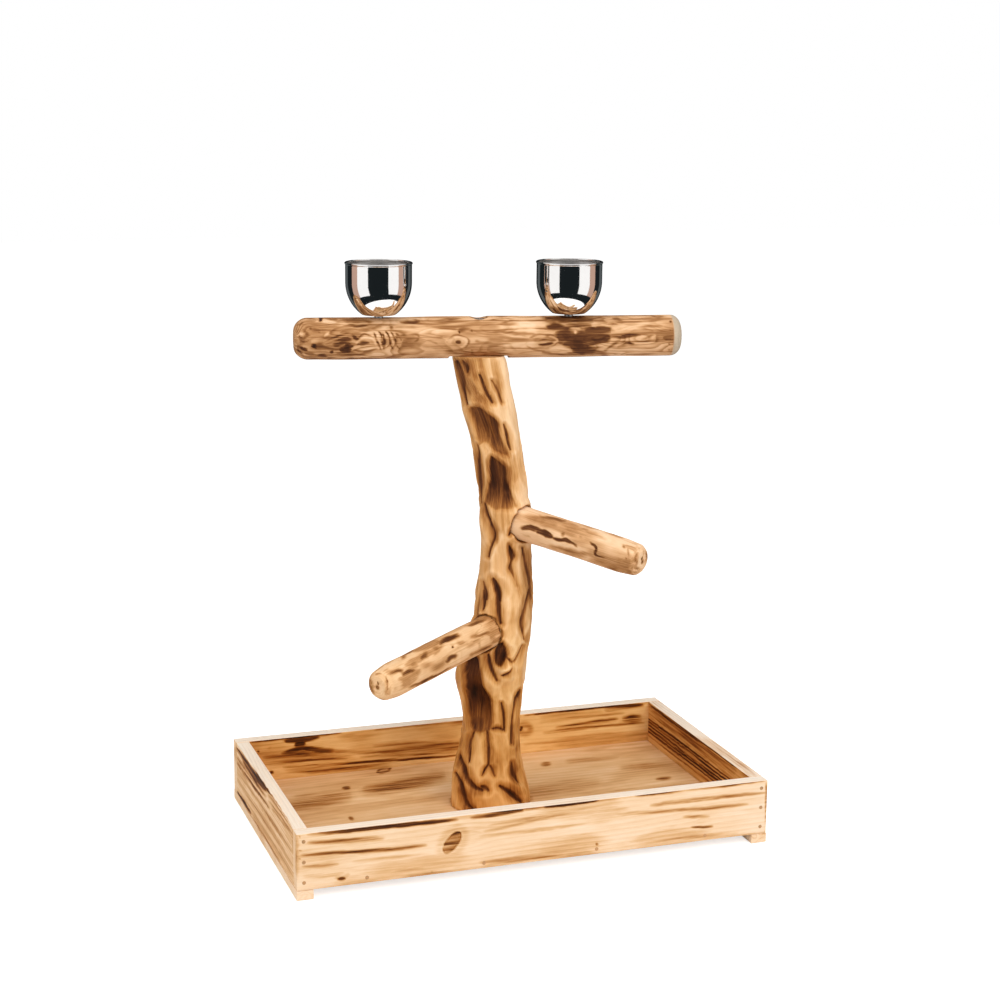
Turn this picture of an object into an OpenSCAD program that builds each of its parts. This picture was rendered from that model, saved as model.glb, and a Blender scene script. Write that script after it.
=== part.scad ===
// Tabletop bird perch stand. A shallow wooden tray on two runners holds a crooked trunk with two
// branches, and a round perch across the top of the trunk carries two round-bottomed steel cups.
// Millimetres, +Z up. X runs along the tray, the front is at -Y, and the origin lies on the table
// under the middle of the tray.

/* [Tray] */
// Outer width of the tray
tray_w = 480; // [420:1:600]
// Outer depth of the tray
tray_d = 282; // [240:1:380]
// Thickness of the four side boards
board_t = 14; // [10:0.5:18]
// Height of the four side boards
board_h = 56; // [44:1:90]
// Thickness of the floor board, set in flush with the undersides of the side boards
floor_t = 11; // [9:0.5:14]
// Gap left all round the floor board
floor_gap = 0.2; // [0.1:0.05:0.5]
// Height of the two runners
runner_h = 9; // [8:0.5:20]
// How far each runner reaches in under the floor board
runner_ledge = 2; // [1:0.5:6]

/* [Trunk] */
// Height of the trunk above the tray floor
trunk_h = 461; // [400:1:540]
// Usual diameter of the trunk
trunk_d = 50; // [46:1:60]

/* [Left branch] */
// Diameter of the left branch
left_branch_d = 34; // [26:1:38]
// Length of the left branch from its seat to its tip
left_branch_len = 174; // [120:1:180]
// Height of the left branch above the tray floor, at the trunk
left_branch_h = 187; // [160:1:220]
// Direction of the left branch, turned from +X
left_branch_turn = -145; // [-170:1:-130]
// Droop of the left branch
left_branch_droop = 5; // [0:0.2:8]

/* [Right branch] */
// Diameter of the right branch
right_branch_d = 34; // [26:1:36]
// Length of the right branch from its seat to its tip
right_branch_len = 144; // [100:1:148]
// Height of the right branch above the tray floor, at the trunk
right_branch_h = 297; // [260:1:320]
// Direction of the right branch, turned from +X
right_branch_turn = -54; // [-60:1:-20]
// Droop of the right branch
right_branch_droop = 7.6; // [0:0.2:8]

/* [Branch ends] */
// Rounding of the branch tips
tip_round = 7; // [3:0.5:12]
// Rounding of the branch roots
root_round = 2; // [1:0.5:4]
// How far a branch's seat is sunk below the flanks of the trunk
seat_bite = 1; // [0.5:0.5:3]
// Clearance between a branch and its seat
seat_gap = 0.3; // [0.2:0.05:0.5]

/* [Top perch] */
// Diameter of the perch
perch_d = 41; // [30:1:44]
// Length of the perch to the left of its bolt
perch_left = 179; // [150:1:220]
// Length of the perch to the right of its bolt
perch_right = 200; // [150:1:220]
// Direction of the perch, turned from +X
perch_turn = -10; // [-30:1:30]
// Rounding of the perch's left end
left_end_round = 13; // [4:0.5:14]
// Rounding of the perch's right end
right_end_round = 9; // [4:0.5:14]
// Depth of the flat planed under the perch where it sits on the trunk
perch_flat = 3.5; // [1:0.5:4]
// Clearance between the perch and the top of the trunk
perch_gap = 0.3; // [0.2:0.05:0.5]

/* [Cups] */
// Outer diameter of a cup's straight wall
cup_d = 64; // [54:1:76]
// Height of a cup
cup_h = 50.5; // [44:0.5:64]
// Diameter of a cup's flat bottom
cup_base_d = 32; // [26:1:38]
// Radius of the bowl that joins a cup's flat bottom to its straight wall
cup_bowl_r = 38; // [34:1:46]
// Sheet thickness of a cup
cup_wall = 0.8; // [0.6:0.1:1.2]
// Diameter of the curled rim
cup_rim_d = 2.2; // [1.6:0.1:3]
// Distance from the perch's bolt to the left cup's screw
left_cup_at = 97; // [80:1:110]
// Distance from the perch's bolt to the right cup's screw
right_cup_at = 89; // [80:1:110]
// Clearance above and below a cup's bottom, which lets the cup turn
cup_gap = 0.1; // [0.1:0.05:0.3]

/* [Cup fixings] */
// Diameter of a cup's spacer
spacer_d = 8.5; // [7.5:0.5:11]
// Height of a cup's spacer
spacer_h = 3; // [3:0.1:8]
// Depth of the spot face that a spacer stands in
spot_depth = 0.8; // [0.6:0.1:1.5]
// Shank diameter of a cup screw
cup_screw_d = 4.8; // [4:0.2:6]
// Length of a cup screw under its head
cup_screw_len = 34; // [24:1:36]
// Head diameter of a cup screw
cup_screw_head_d = 9.6; // [8:0.2:11]
// Height of a cup screw's head
cup_screw_head_h = 3.2; // [2.4:0.2:4]
// Diameter of the soft washer under a cup screw's head
cup_washer_d = 15; // [12:0.5:20]
// Thickness of the soft washer
cup_washer_t = 1.5; // [1:0.1:2.5]

/* [Bolts] */
// Diameter of the perch bolt and the trunk bolt
bolt_d = 8; // [6:1:9]
// Width of a bolt's hexagon head across its flats
bolt_head_w = 13; // [10:0.5:14]
// Height of a bolt's head
bolt_head_h = 5.3; // [4:0.1:6]
// Length of the perch bolt under its head
perch_bolt_len = 72; // [56:1:84]
// Length of the trunk bolt under its head
trunk_bolt_len = 60; // [40:1:70]
// Diameter of the washers under the bolts' heads
washer_d = 18; // [16:0.5:20]
// Thickness of these washers
washer_t = 1.6; // [1.2:0.1:2]
// Depth of the counterbore in the perch
counterbore_depth = 10; // [8:0.5:12]

/* [Branch screws] */
// Diameter of the double-ended screws that hold the branches
stud_d = 8; // [6:1:10]
// Length of a double-ended screw
stud_len = 64; // [44:1:70]

/* [Trunk screws] */
// Shank diameter of the two screws beside the trunk bolt
trunk_screw_d = 4.5; // [3.5:0.1:5]
// Length of these screws under their heads
trunk_screw_len = 45; // [30:1:55]
// Head diameter of these screws
trunk_screw_head_d = 8.6; // [7:0.2:10]
// Height of these screws' heads
trunk_screw_head_h = 2.8; // [2.2:0.1:3.5]
// Distance between the two screws
trunk_screw_span = 44; // [32:1:48]

/* [Nails] */
// Shank diameter of the nails
nail_d = 1.8; // [1.4:0.1:2.4]
// Head diameter of the nails
nail_head_d = 3.6; // [2.8:0.1:4.4]
// Thickness of a nail's head
nail_head_t = 0.8; // [0.6:0.1:1.2]
// Length of the nails
nail_len = 34; // [28:1:40]
// Number of nails at each corner of the tray
nails_a_corner = 3; // [2:1:4]
// Number of nails through each long board into the floor board
nails_a_long_side = 4; // [2:1:6]
// Number of nails up through each runner
nails_a_runner = 4; // [2:1:5]
// Depth to which the runner nails are punched in
nail_sink = 0.5; // [0.3:0.1:1]

/* [Fit] */
// Clearance round every nail, screw and bolt
fit = 0.05; // [0.02:0.01:0.09]

/* [Hidden] */
$fn = 72;
// A little more than nothing, for cuts that pass through a face
over = 1;

board_colour = [0.80, 0.60, 0.38];
floor_colour = [0.84, 0.66, 0.44];
trunk_colour = [0.70, 0.48, 0.27];
perch_colour = [0.72, 0.52, 0.32];
steel_colour = [0.70, 0.71, 0.73];
cup_colour = [0.82, 0.83, 0.85];
washer_colour = [0.12, 0.12, 0.13];

side_len = tray_d - 2 * board_t;
runner_w = board_t + runner_ledge;
floor_top = runner_h + floor_t;
// Middle of a side board's thickness, where nails go in
nail_line = tray_w / 2 - board_t / 2;

// The trunk's outline: share of its height, then sideways lean and radius as shares of its diameter
trunk_shape = [[0, -0.08, 0.79], [0.065, -0.12, 0.72], [0.185, -0.06, 0.57], [0.305, -0.08, 0.66],
               [0.4, 0.14, 0.61], [0.49, 0.2, 0.57], [0.585, 0.21, 0.51], [0.695, 0.15, 0.49],
               [0.8, 0, 0.5], [0.9, -0.2, 0.49], [1, -0.41, 0.51]];
trunk_lean = [for (s = trunk_shape) [s[0] * trunk_h, s[1] * trunk_d]];
trunk_girth = [for (s = trunk_shape) [s[0] * trunk_h, s[2] * trunk_d]];
// Hollows and, with a minus, knobs: share of the height, direction, half height as a share of the
// height, half angle, and depth as a share of the diameter
trunk_hollows = [[0.838, -124, 0.061, 40, 0.14], [0.72, -106, 0.065, 42, 0.14],
                 [0.237, -134, 0.091, 34, 0.18], [0.31, -84, 0.035, 24, -0.08],
                 [0.53, 70, 0.1, 40, 0.1], [0.15, 20, 0.087, 36, 0.1],
                 [0.6, 160, 0.074, 36, 0.04], [0.36, 140, 0.052, 26, -0.06],
                 [0.29, 165, 0.06, 50, -0.09], [0.02, -20, 0.1, 44, -0.09]];
trunk_rings = 34;
trunk_sides = 30;

function trunk_x(h) = lookup(h, trunk_lean);
function trunk_r(h) = lookup(h, trunk_girth);

perch_r = perch_d / 2;
perch_x = trunk_x(trunk_h);
perch_z = floor_top + trunk_h + perch_gap + perch_r - perch_flat;
// The flat under the perch is long enough to clear the trunk's top at every turn
perch_flat_len = 2 * trunk_r(trunk_h) + trunk_d * 0.16;

spacer_z = perch_r - spot_depth;
cup_z = spacer_z + spacer_h + cup_gap;
cup_washer_z = cup_z + cup_wall + cup_gap;

// The base bolt goes up where the trunk's foot stands
foot_x = trunk_x(0);

// Distance from the trunk's axis to the bottom of a branch's seat
function seat_at(h, d) = sqrt(pow(trunk_r(h), 2) - pow(d / 2 + seat_gap, 2)) - seat_bite;

// Even places from -half to half
function spread(half, n) = [for (i = [0 : n - 1]) -half + 2 * half * i / (n - 1)];

// Nail standing on its head, point up
module nail() {
    point_len = 2 * nail_d;
    cylinder(h = nail_head_t, d = nail_head_d);
    cylinder(h = nail_len - point_len, d = nail_d);
    translate([0, 0, nail_len - point_len])
        cylinder(h = point_len, d1 = nail_d, d2 = nail_d / 6);
}

module nail_hole() {
    translate([0, 0, -over])
        cylinder(h = nail_head_t + over, d = nail_head_d + 2 * fit);
    cylinder(h = nail_len + fit, d = nail_d + 2 * fit);
}

module at_corner_nails(x_sides, y_sides) {
    for (sx = x_sides, sy = y_sides, z = spread(board_h * 0.36, nails_a_corner))
        translate([sx * nail_line, sy * tray_d / 2, runner_h + board_h / 2 + z])
            rotate([sy * 90, 0, 0])
                children();
}

module at_floor_nails(y_sides) {
    for (sy = y_sides, x = spread(tray_w * 0.36, nails_a_long_side))
        translate([x, sy * tray_d / 2, runner_h + floor_t / 2])
            rotate([sy * 90, 0, 0])
                children();
}

module at_runner_nails(x_sides) {
    for (sx = x_sides, y = spread(tray_d / 2 - nail_len - board_t, nails_a_runner))
        translate([sx * nail_line, y, nail_sink])
            children();
}

module long_board(side) {
    color(board_colour)
        difference() {
            translate([-tray_w / 2, side * (tray_d - board_t) / 2 - board_t / 2, runner_h])
                cube([tray_w, board_t, board_h]);
            at_corner_nails([-1, 1], [side]) nail_hole();
            at_floor_nails([side]) nail_hole();
        }
}

module short_board(side) {
    color(board_colour)
        difference() {
            translate([side * nail_line - board_t / 2, -side_len / 2, runner_h])
                cube([board_t, side_len, board_h]);
            at_corner_nails([side], [-1, 1]) nail_hole();
            at_runner_nails([side]) nail_hole();
        }
}

module tray_floor() {
    floor_w = tray_w - 2 * board_t - 2 * floor_gap;
    floor_d = side_len - 2 * floor_gap;
    color(floor_colour)
        difference() {
            translate([-floor_w / 2, -floor_d / 2, runner_h])
                cube([floor_w, floor_d, floor_t]);
            at_floor_nails([-1, 1]) nail_hole();
            translate([foot_x, 0, runner_h - over])
                cylinder(h = floor_t + 2 * over, d = bolt_d + 2 * fit);
            at_trunk_screws()
                translate([0, 0, -over])
                    cylinder(h = floor_t + 2 * over, d = trunk_screw_d + 2 * fit);
        }
}

module runner(side) {
    color(board_colour)
        difference() {
            translate([side * (tray_w - runner_w) / 2 - runner_w / 2, -tray_d / 2, 0])
                cube([runner_w, tray_d, runner_h]);
            at_runner_nails([side])
                translate([0, 0, -nail_sink - over])
                    cylinder(h = nail_sink + nail_head_t + over, d = nail_head_d + 2 * fit);
            at_runner_nails([side]) nail_hole();
        }
}

// A smooth dent: 1 at its middle and 0 from its rim outwards
function dent(u) = u < 1 ? (1 + cos(180 * u)) / 2 : 0;

function turn_between(a, b) = abs((a - b + 540) % 360 - 180);

// Radius of the trunk's skin at height h in direction a, with its flutes, hollows and knobs
function skin_r(h, a) =
    trunk_r(h) + trunk_d * 0.014 * sin(5 * a + 320 * h / trunk_h)
    + trunk_d * 0.044 * max(0, 1 - h / (trunk_h * 0.15)) * sin(4 * a + 30)
    - hollows_at(h, a, len(trunk_hollows) - 1);

function hollows_at(h, a, i) =
    i < 0 ? 0 : hollows_at(h, a, i - 1) + trunk_hollows[i][4] * trunk_d * dent(norm([
        (h / trunk_h - trunk_hollows[i][0]) / trunk_hollows[i][2],
        turn_between(a, trunk_hollows[i][1]) / trunk_hollows[i][3]]));

module trunk_limb() {
    n = trunk_sides;
    last = trunk_rings - 1;
    rings = [for (i = [0 : last], j = [0 : n - 1])
                 let (h = trunk_h * i / last, a = 360 * j / n, r = skin_r(h, a))
                     [trunk_x(h) + r * cos(a), r * sin(a), h]];
    ends = [[trunk_x(0), 0, 0], [trunk_x(trunk_h), 0, trunk_h]];
    low = len(rings);
    sides = [for (i = [0 : last - 1], j = [0 : n - 1], half = [0, 1])
                 let (a = i * n + j, b = i * n + (j + 1) % n)
                     half == 0 ? [a, a + n, b + n] : [a, b + n, b]];
    foot = [for (j = [0 : n - 1]) [low, j, (j + 1) % n]];
    top = [for (j = [0 : n - 1]) [low + 1, last * n + (j + 1) % n, last * n + j]];
    polyhedron(points = concat(rings, ends), faces = concat(sides, foot, top));
}

module in_branch_frame(h, turn, droop) {
    translate([trunk_x(h), 0, h])
        rotate([0, 0, turn])
            rotate([0, 90 + droop, 0])
                children();
}

module branch_socket(h, d, turn, droop) {
    seat = seat_at(h, d);
    in_branch_frame(h, turn, droop) {
        translate([0, 0, seat])
            cylinder(h = trunk_d * 2, d = d + 2 * seat_gap);
        translate([0, 0, seat - stud_len / 2 - fit])
            cylinder(h = stud_len, d = stud_d + 2 * fit);
    }
}

module trunk() {
    color(trunk_colour)
        translate([0, 0, floor_top])
            difference() {
                trunk_limb();
                branch_socket(left_branch_h, left_branch_d, left_branch_turn, left_branch_droop);
                branch_socket(right_branch_h, right_branch_d, right_branch_turn, right_branch_droop);
                translate([perch_x, 0, trunk_h - perch_bolt_depth()])
                    cylinder(h = perch_bolt_depth() + over, d = bolt_d + 2 * fit);
                translate([foot_x, 0, -over])
                    cylinder(h = trunk_bolt_len - floor_t - washer_t + over + fit, d = bolt_d + 2 * fit);
                translate([0, 0, -floor_top])
                    at_trunk_screws()
                        cylinder(h = trunk_screw_len + fit, d = trunk_screw_d + 2 * fit);
            }
}

// How far the perch bolt reaches into the trunk, with its end clearance
function perch_bolt_depth() =
    perch_bolt_len + washer_t + counterbore_depth - perch_d + perch_flat - perch_gap + fit;

// Pointed screw or bolt, hanging head up with the underside of its head at the origin
module shank(d, length) {
    point_len = d;
    translate([0, 0, -length + point_len])
        cylinder(h = length - point_len, d = d);
    translate([0, 0, -length])
        cylinder(h = point_len, d1 = d / 4, d2 = d);
}

module hex_bolt(length) {
    shank(bolt_d, length);
    cylinder(h = bolt_head_h, d = bolt_head_w / cos(30), $fn = 6);
}

module pan_screw(d, length, head_d, head_h) {
    slot_w = d * 0.2;
    shank(d, length);
    difference() {
        union() {
            cylinder(h = head_h / 2, d = head_d);
            translate([0, 0, head_h / 2])
                cylinder(h = head_h / 2, d1 = head_d, d2 = head_d * 0.7);
        }
        for (a = [0, 90])
            rotate([0, 0, a])
                translate([-head_d * 0.25, -slot_w / 2, head_h * 0.45])
                    cube([head_d * 0.5, slot_w, head_h]);
    }
}

module washer(d, hole_d, t) {
    difference() {
        cylinder(h = t, d = d);
        translate([0, 0, -over])
            cylinder(h = t + 2 * over, d = hole_d + 2 * fit);
    }
}

module trunk_bolt() {
    color(steel_colour)
        translate([foot_x, 0, runner_h - washer_t])
            rotate([180, 0, 0])
                hex_bolt(trunk_bolt_len);
}

module trunk_washer() {
    color(steel_colour)
        translate([foot_x, 0, runner_h - washer_t])
            washer(washer_d, bolt_d, washer_t);
}

module at_trunk_screws() {
    for (side = [-1, 1])
        translate([foot_x + side * trunk_screw_span / 2, 0, runner_h])
            children();
}

module trunk_screws() {
    color(steel_colour)
        at_trunk_screws()
            rotate([180, 0, 0])
                pan_screw(trunk_screw_d, trunk_screw_len, trunk_screw_head_d, trunk_screw_head_h);
}

// Round rod standing on its end, with both ends rounded over
module rounded_rod(d, length, low_round, high_round) {
    r = d / 2;
    rotate_extrude()
        intersection() {
            square([r, length]);
            union() {
                square([r - low_round, length]);
                translate([0, low_round])
                    square([r, length - low_round - high_round]);
                square([r - high_round, length]);
                translate([r - low_round, low_round])
                    circle(r = low_round);
                translate([r - high_round, length - high_round])
                    circle(r = high_round);
            }
        }
}

module branch(h, d, length, turn, droop) {
    seat = seat_at(h, d);
    color(perch_colour)
        translate([0, 0, floor_top])
            in_branch_frame(h, turn, droop)
                translate([0, 0, seat + seat_gap])
                    difference() {
                        rounded_rod(d, length, root_round, tip_round);
                        translate([0, 0, -over])
                            cylinder(h = stud_len / 2 - seat_gap + over + fit, d = stud_d + 2 * fit);
                    }
}

module branch_screw(h, d, turn, droop) {
    point_len = stud_d;
    color(steel_colour)
        translate([0, 0, floor_top])
            in_branch_frame(h, turn, droop)
                translate([0, 0, seat_at(h, d) - stud_len / 2]) {
                    cylinder(h = point_len, d1 = stud_d / 4, d2 = stud_d);
                    translate([0, 0, point_len])
                        cylinder(h = stud_len - 2 * point_len, d = stud_d);
                    translate([0, 0, stud_len - point_len])
                        cylinder(h = point_len, d1 = stud_d, d2 = stud_d / 4);
                }
}

// X along the perch, Z up, origin on the perch's axis above the trunk
module in_perch_frame() {
    translate([perch_x, 0, perch_z])
        rotate([0, 0, perch_turn])
            children();
}

module at_cup(side) {
    in_perch_frame()
        translate([side < 0 ? -left_cup_at : right_cup_at, 0, 0])
            children();
}

module cup_screw_hole() {
    bottom = cup_washer_z + cup_washer_t - cup_screw_len - fit;
    translate([0, 0, bottom])
        cylinder(h = perch_r - bottom, d = cup_screw_d + 2 * fit);
    translate([0, 0, spacer_z])
        cylinder(h = spot_depth + over, d = spacer_d + 2 * seat_gap);
}

module top_perch() {
    color(perch_colour)
        difference() {
            in_perch_frame()
                difference() {
                    translate([-perch_left, 0, 0])
                        rotate([0, 90, 0])
                            rounded_rod(perch_d, perch_left + perch_right, left_end_round, right_end_round);
                    translate([-perch_flat_len / 2, -perch_r, -perch_r - over])
                        cube([perch_flat_len, perch_d, perch_flat + over]);
                    translate([0, 0, -perch_r])
                        cylinder(h = perch_d, d = bolt_d + 2 * fit);
                    translate([0, 0, perch_r - counterbore_depth])
                        cylinder(h = counterbore_depth + over, d = washer_d + 4 * seat_gap);
                }
            for (side = [-1, 1])
                at_cup(side) cup_screw_hole();
        }
}

module perch_washer() {
    color(steel_colour)
        in_perch_frame()
            translate([0, 0, perch_r - counterbore_depth + cup_gap])
                washer(washer_d, bolt_d, washer_t);
}

module perch_bolt() {
    color(steel_colour)
        in_perch_frame()
            translate([0, 0, perch_r - counterbore_depth + cup_gap + washer_t])
                hex_bolt(perch_bolt_len);
}

// Half section of a cup's outside, or of its inside when set in by the wall
module cup_section(inset) {
    bowl_x = cup_d / 2 - cup_bowl_r;
    bowl_z = sqrt(pow(cup_bowl_r, 2) - pow(cup_base_d / 2 - bowl_x, 2));
    intersection() {
        translate([bowl_x, bowl_z])
            circle(r = cup_bowl_r - inset);
        translate([0, inset])
            square([cup_d / 2 - inset, bowl_z - inset]);
    }
    translate([0, bowl_z])
        square([cup_d / 2 - inset, cup_h - bowl_z]);
}

module cup(side) {
    color(cup_colour)
        at_cup(side)
            translate([0, 0, cup_z]) {
                rotate_extrude()
                    difference() {
                        cup_section(0);
                        cup_section(cup_wall);
                        square([cup_screw_d / 2 + fit, cup_wall * 2]);
                        translate([0, cup_h - cup_rim_d / 2])
                            square([cup_d, cup_rim_d]);
                    }
                rotate_extrude()
                    translate([cup_d / 2 - cup_wall / 2, cup_h - cup_rim_d / 2])
                        circle(d = cup_rim_d);
            }
}

module cup_spacer(side) {
    color(steel_colour)
        at_cup(side)
            translate([0, 0, spacer_z])
                washer(spacer_d, cup_screw_d, spacer_h);
}

module cup_washer(side) {
    color(washer_colour)
        at_cup(side)
            translate([0, 0, cup_washer_z])
                washer(cup_washer_d, cup_screw_d, cup_washer_t);
}

module cup_screw(side) {
    color(steel_colour)
        at_cup(side)
            translate([0, 0, cup_washer_z + cup_washer_t])
                pan_screw(cup_screw_d, cup_screw_len, cup_screw_head_d, cup_screw_head_h);
}

long_board(-1);  // tray_front_board
long_board(1);  // tray_back_board
short_board(-1);  // tray_left_board
short_board(1);  // tray_right_board
tray_floor();
runner(-1);  // runner_left
runner(1);  // runner_right
color(steel_colour) at_corner_nails([-1, 1], [-1, 1]) nail();  // corner_nails
color(steel_colour) at_floor_nails([-1, 1]) nail();  // floor_nails
color(steel_colour) at_runner_nails([-1, 1]) nail();  // runner_nails
trunk();
trunk_bolt();
trunk_washer();
trunk_screws();
branch(left_branch_h, left_branch_d, left_branch_len, left_branch_turn, left_branch_droop);  // branch_left
branch(right_branch_h, right_branch_d, right_branch_len, right_branch_turn, right_branch_droop);  // branch_right
branch_screw(left_branch_h, left_branch_d, left_branch_turn, left_branch_droop);  // branch_left_screw
branch_screw(right_branch_h, right_branch_d, right_branch_turn, right_branch_droop);  // branch_right_screw
top_perch();
perch_bolt();
perch_washer();
cup(-1);  // cup_left
cup(1);  // cup_right
cup_spacer(-1);  // cup_left_spacer
cup_spacer(1);  // cup_right_spacer
cup_washer(-1);  // cup_left_washer
cup_washer(1);  // cup_right_washer
cup_screw(-1);  // cup_left_screw
cup_screw(1);  // cup_right_screw
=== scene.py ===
import math
import random

import bpy
import numpy as np
from mathutils import Matrix, Vector


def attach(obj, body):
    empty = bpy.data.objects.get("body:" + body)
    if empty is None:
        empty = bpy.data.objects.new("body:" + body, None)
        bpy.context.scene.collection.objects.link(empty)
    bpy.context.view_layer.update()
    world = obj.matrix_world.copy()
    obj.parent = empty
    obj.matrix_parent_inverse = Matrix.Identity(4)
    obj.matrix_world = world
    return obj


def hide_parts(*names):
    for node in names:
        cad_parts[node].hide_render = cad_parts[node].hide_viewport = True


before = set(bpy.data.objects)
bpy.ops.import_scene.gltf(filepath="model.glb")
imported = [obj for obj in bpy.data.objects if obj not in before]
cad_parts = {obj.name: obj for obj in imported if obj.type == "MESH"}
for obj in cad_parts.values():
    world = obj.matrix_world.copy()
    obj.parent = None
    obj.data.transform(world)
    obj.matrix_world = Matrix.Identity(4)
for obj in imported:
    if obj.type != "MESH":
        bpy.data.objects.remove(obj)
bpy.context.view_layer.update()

rng = random.Random(7)
MM = 0.001

# Sizes of the construction, in millimetres
TRAY_W, TRAY_D, BOARD_T, BOARD_H = 480.0, 282.0, 14.0, 56.0
RUNNER_H, FLOOR_T = 9.0, 11.0
FLOOR_TOP = RUNNER_H + FLOOR_T
TRUNK_H, TRUNK_D = 461.0, 50.0
PERCH_L, PERCH_R, PERCH_RADIUS, PERCH_FLAT, FLAT_HALF = 179.0, 200.0, 20.5, 3.5, 29.2
PERCH_AT, PERCH_TURN = np.array([-20.5, 0, 498.3]), math.radians(-10)
CUPS = {"left": -97.0, "right": 89.0}
BRANCHES = {
    "left": dict(height=187.0, thick=34.0, length=174.0, turn=-145.0, droop=5.0, seed=100, tip=2.0,
                 warm=0.35),
    "right": dict(height=297.0, thick=34.0, length=144.0, turn=-54.0, droop=7.6, seed=120, tip=1.5,
                  warm=0.12),
}

# How finely round pieces are divided
TRUNK_RINGS, TRUNK_SIDES, BRANCH_SIDES, PERCH_SIDES, CUP_SIDES, BORE_SIDES = 420, 288, 144, 176, 160, 64

# Photographer's camera, in millimetres and in pixels of a picture 1000 wide
PICTURE, FOCAL, SENSOR = 1000.0, 1996.6, 36.0
AZIMUTH_DEG = 19.25
AZIMUTH, PITCH, ROLL = math.radians(AZIMUTH_DEG), math.radians(-12.18), math.radians(0.62)
EYE = np.array([-635.0, -1828.8, 753.0])
LEVEL = math.cos(PITCH)
AHEAD = np.array([math.sin(AZIMUTH) * LEVEL, math.cos(AZIMUTH) * LEVEL, math.sin(PITCH)])
RIGHT = np.array([math.cos(AZIMUTH), -math.sin(AZIMUTH), 0.0])
UPWARD = np.cross(RIGHT, AHEAD)
CAM_X = math.cos(ROLL) * RIGHT + math.sin(ROLL) * UPWARD
CAM_Y = -math.sin(ROLL) * RIGHT + math.cos(ROLL) * UPWARD
# The way from the stand to the camera, in degrees from +X
CAMERA_WAY = -90 - AZIMUTH_DEG


# Numbers
def srgb(red, green, blue):
    """Linear colour for a screen colour of 0 to 255."""

    def linear(channel):
        channel /= 255.0
        return channel / 12.92 if channel <= 0.04045 else ((channel + 0.055) / 1.055) ** 2.4

    return (linear(red), linear(green), linear(blue), 1.0)


def dimmed(colour, share):
    """So much of a colour's light."""
    return tuple(channel * share for channel in colour[:3]) + (1.0,)


def smooth(value, low, high):
    """Eases from 0 at low to 1 at high."""
    share = np.clip((value - low) / (high - low), 0.0, 1.0)
    return share * share * (3 - 2 * share)


def hill(off, width):
    """A soft hill, 1 where off is 0."""
    return np.exp(-((off / width) ** 2))


def lattice(ix, iy, iz, seed):
    """A scrambled number from -1 to 1 for each corner of a grid."""
    mixed = ix.astype(np.uint32) * np.uint32(73856093)
    mixed ^= iy.astype(np.uint32) * np.uint32(19349663)
    mixed ^= iz.astype(np.uint32) * np.uint32(83492791)
    mixed ^= np.uint32((seed * 2654435761 + 12345) % 4294967296)
    mixed ^= mixed >> np.uint32(16)
    mixed *= np.uint32(2246822519)
    mixed ^= mixed >> np.uint32(13)
    mixed *= np.uint32(3266489917)
    mixed ^= mixed >> np.uint32(16)
    return mixed.astype(np.float64) / 2147483648.0 - 1.0


def noise(points, seed=0):
    """Value noise from -1 to 1 at some points, an array of three columns."""
    base = np.floor(points)
    part = points - base
    part = part * part * part * (part * (part * 6 - 15) + 10)
    share = (1 - part, part)
    cell = base.astype(np.int64)
    out = 0.0
    for dx in (0, 1):
        for dy in (0, 1):
            for dz in (0, 1):
                weight = share[dx][:, 0] * share[dy][:, 1] * share[dz][:, 2]
                out = out + weight * lattice(cell[:, 0] + dx, cell[:, 1] + dy, cell[:, 2] + dz, seed)
    return out


def fbm(points, seed=0, octaves=4):
    """Noise with finer and fainter noise on it."""
    total, amount = 0.0, 0.5
    for k in range(octaves):
        total = total + amount * noise(points * 2.0**k, seed + 17 * k)
        amount *= 0.5
    return total


def ridged(points, seed=0, octaves=3):
    """Noise with sharp crests."""
    total, amount = 0.0, 0.6
    for k in range(octaves):
        total = total + amount * (1 - 2 * np.abs(noise(points * 2.0**k, seed + 31 * k)))
        amount *= 0.5
    return total


def wobble(points, *seeds):
    """Noise at some points, a column for each seed."""
    return np.stack([noise(points, seed) for seed in seeds], 1)


def scaled(points, across, along):
    """Points whose last coordinate, along the wood, has a scale of its own."""
    return points * np.array([across, across, along], float)


# Drawing on surfaces
def seen(points):
    """Where the photographer's camera sees some points, in its picture."""
    ray = points - EYE
    deep = ray @ AHEAD
    across, up = FOCAL * (ray @ CAM_X) / deep, FOCAL * (ray @ CAM_Y) / deep
    return np.stack([PICTURE / 2 + across, PICTURE / 2 - up], 1)


def facing(points, normals, low, high):
    """1 where the points' normals turn to that camera, easing to 0 where they turn away."""
    towards = (EYE - points) / np.linalg.norm(EYE - points, axis=1, keepdims=True)
    return smooth((normals * towards).sum(1), low, high)


def supple(points, closed=False, parts=5):
    """The points joined by a smooth curve instead of straight lines."""
    pts = np.array(points, float)
    count = len(pts)
    if count < 3:
        return pts
    out = []
    for i in range(count if closed else count - 1):
        four = np.arange(i - 1, i + 3)
        p0, p1, p2, p3 = pts[four % count if closed else np.clip(four, 0, count - 1)]
        for s in np.arange(parts) / parts:
            out.append(0.5 * (2 * p1 + (p2 - p0) * s + (2 * p0 - 5 * p1 + 4 * p2 - p3) * s**2
                              + (3 * p1 - p0 - 3 * p2 + p3) * s**3))
    if not closed:
        out.append(pts[-1])
    return np.array(out)


def to_line(at, points):
    """Distance of places in a plane to a line through some points, and how far along it they are."""
    best = np.full(len(at), np.inf)
    along = np.zeros(len(at))
    count = max(1, len(points) - 1)
    for i in range(count):
        start = np.array(points[i], float)
        step = np.array(points[min(i + 1, len(points) - 1)], float) - start
        part = np.clip(((at - start) @ step) / max(step @ step, 1e-9), 0, 1)
        off = np.linalg.norm(at - start - part[:, None] * step, axis=1)
        near = off < best
        best = np.where(near, off, best)
        along = np.where(near, (i + part) / count, along)
    return best, along


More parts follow.
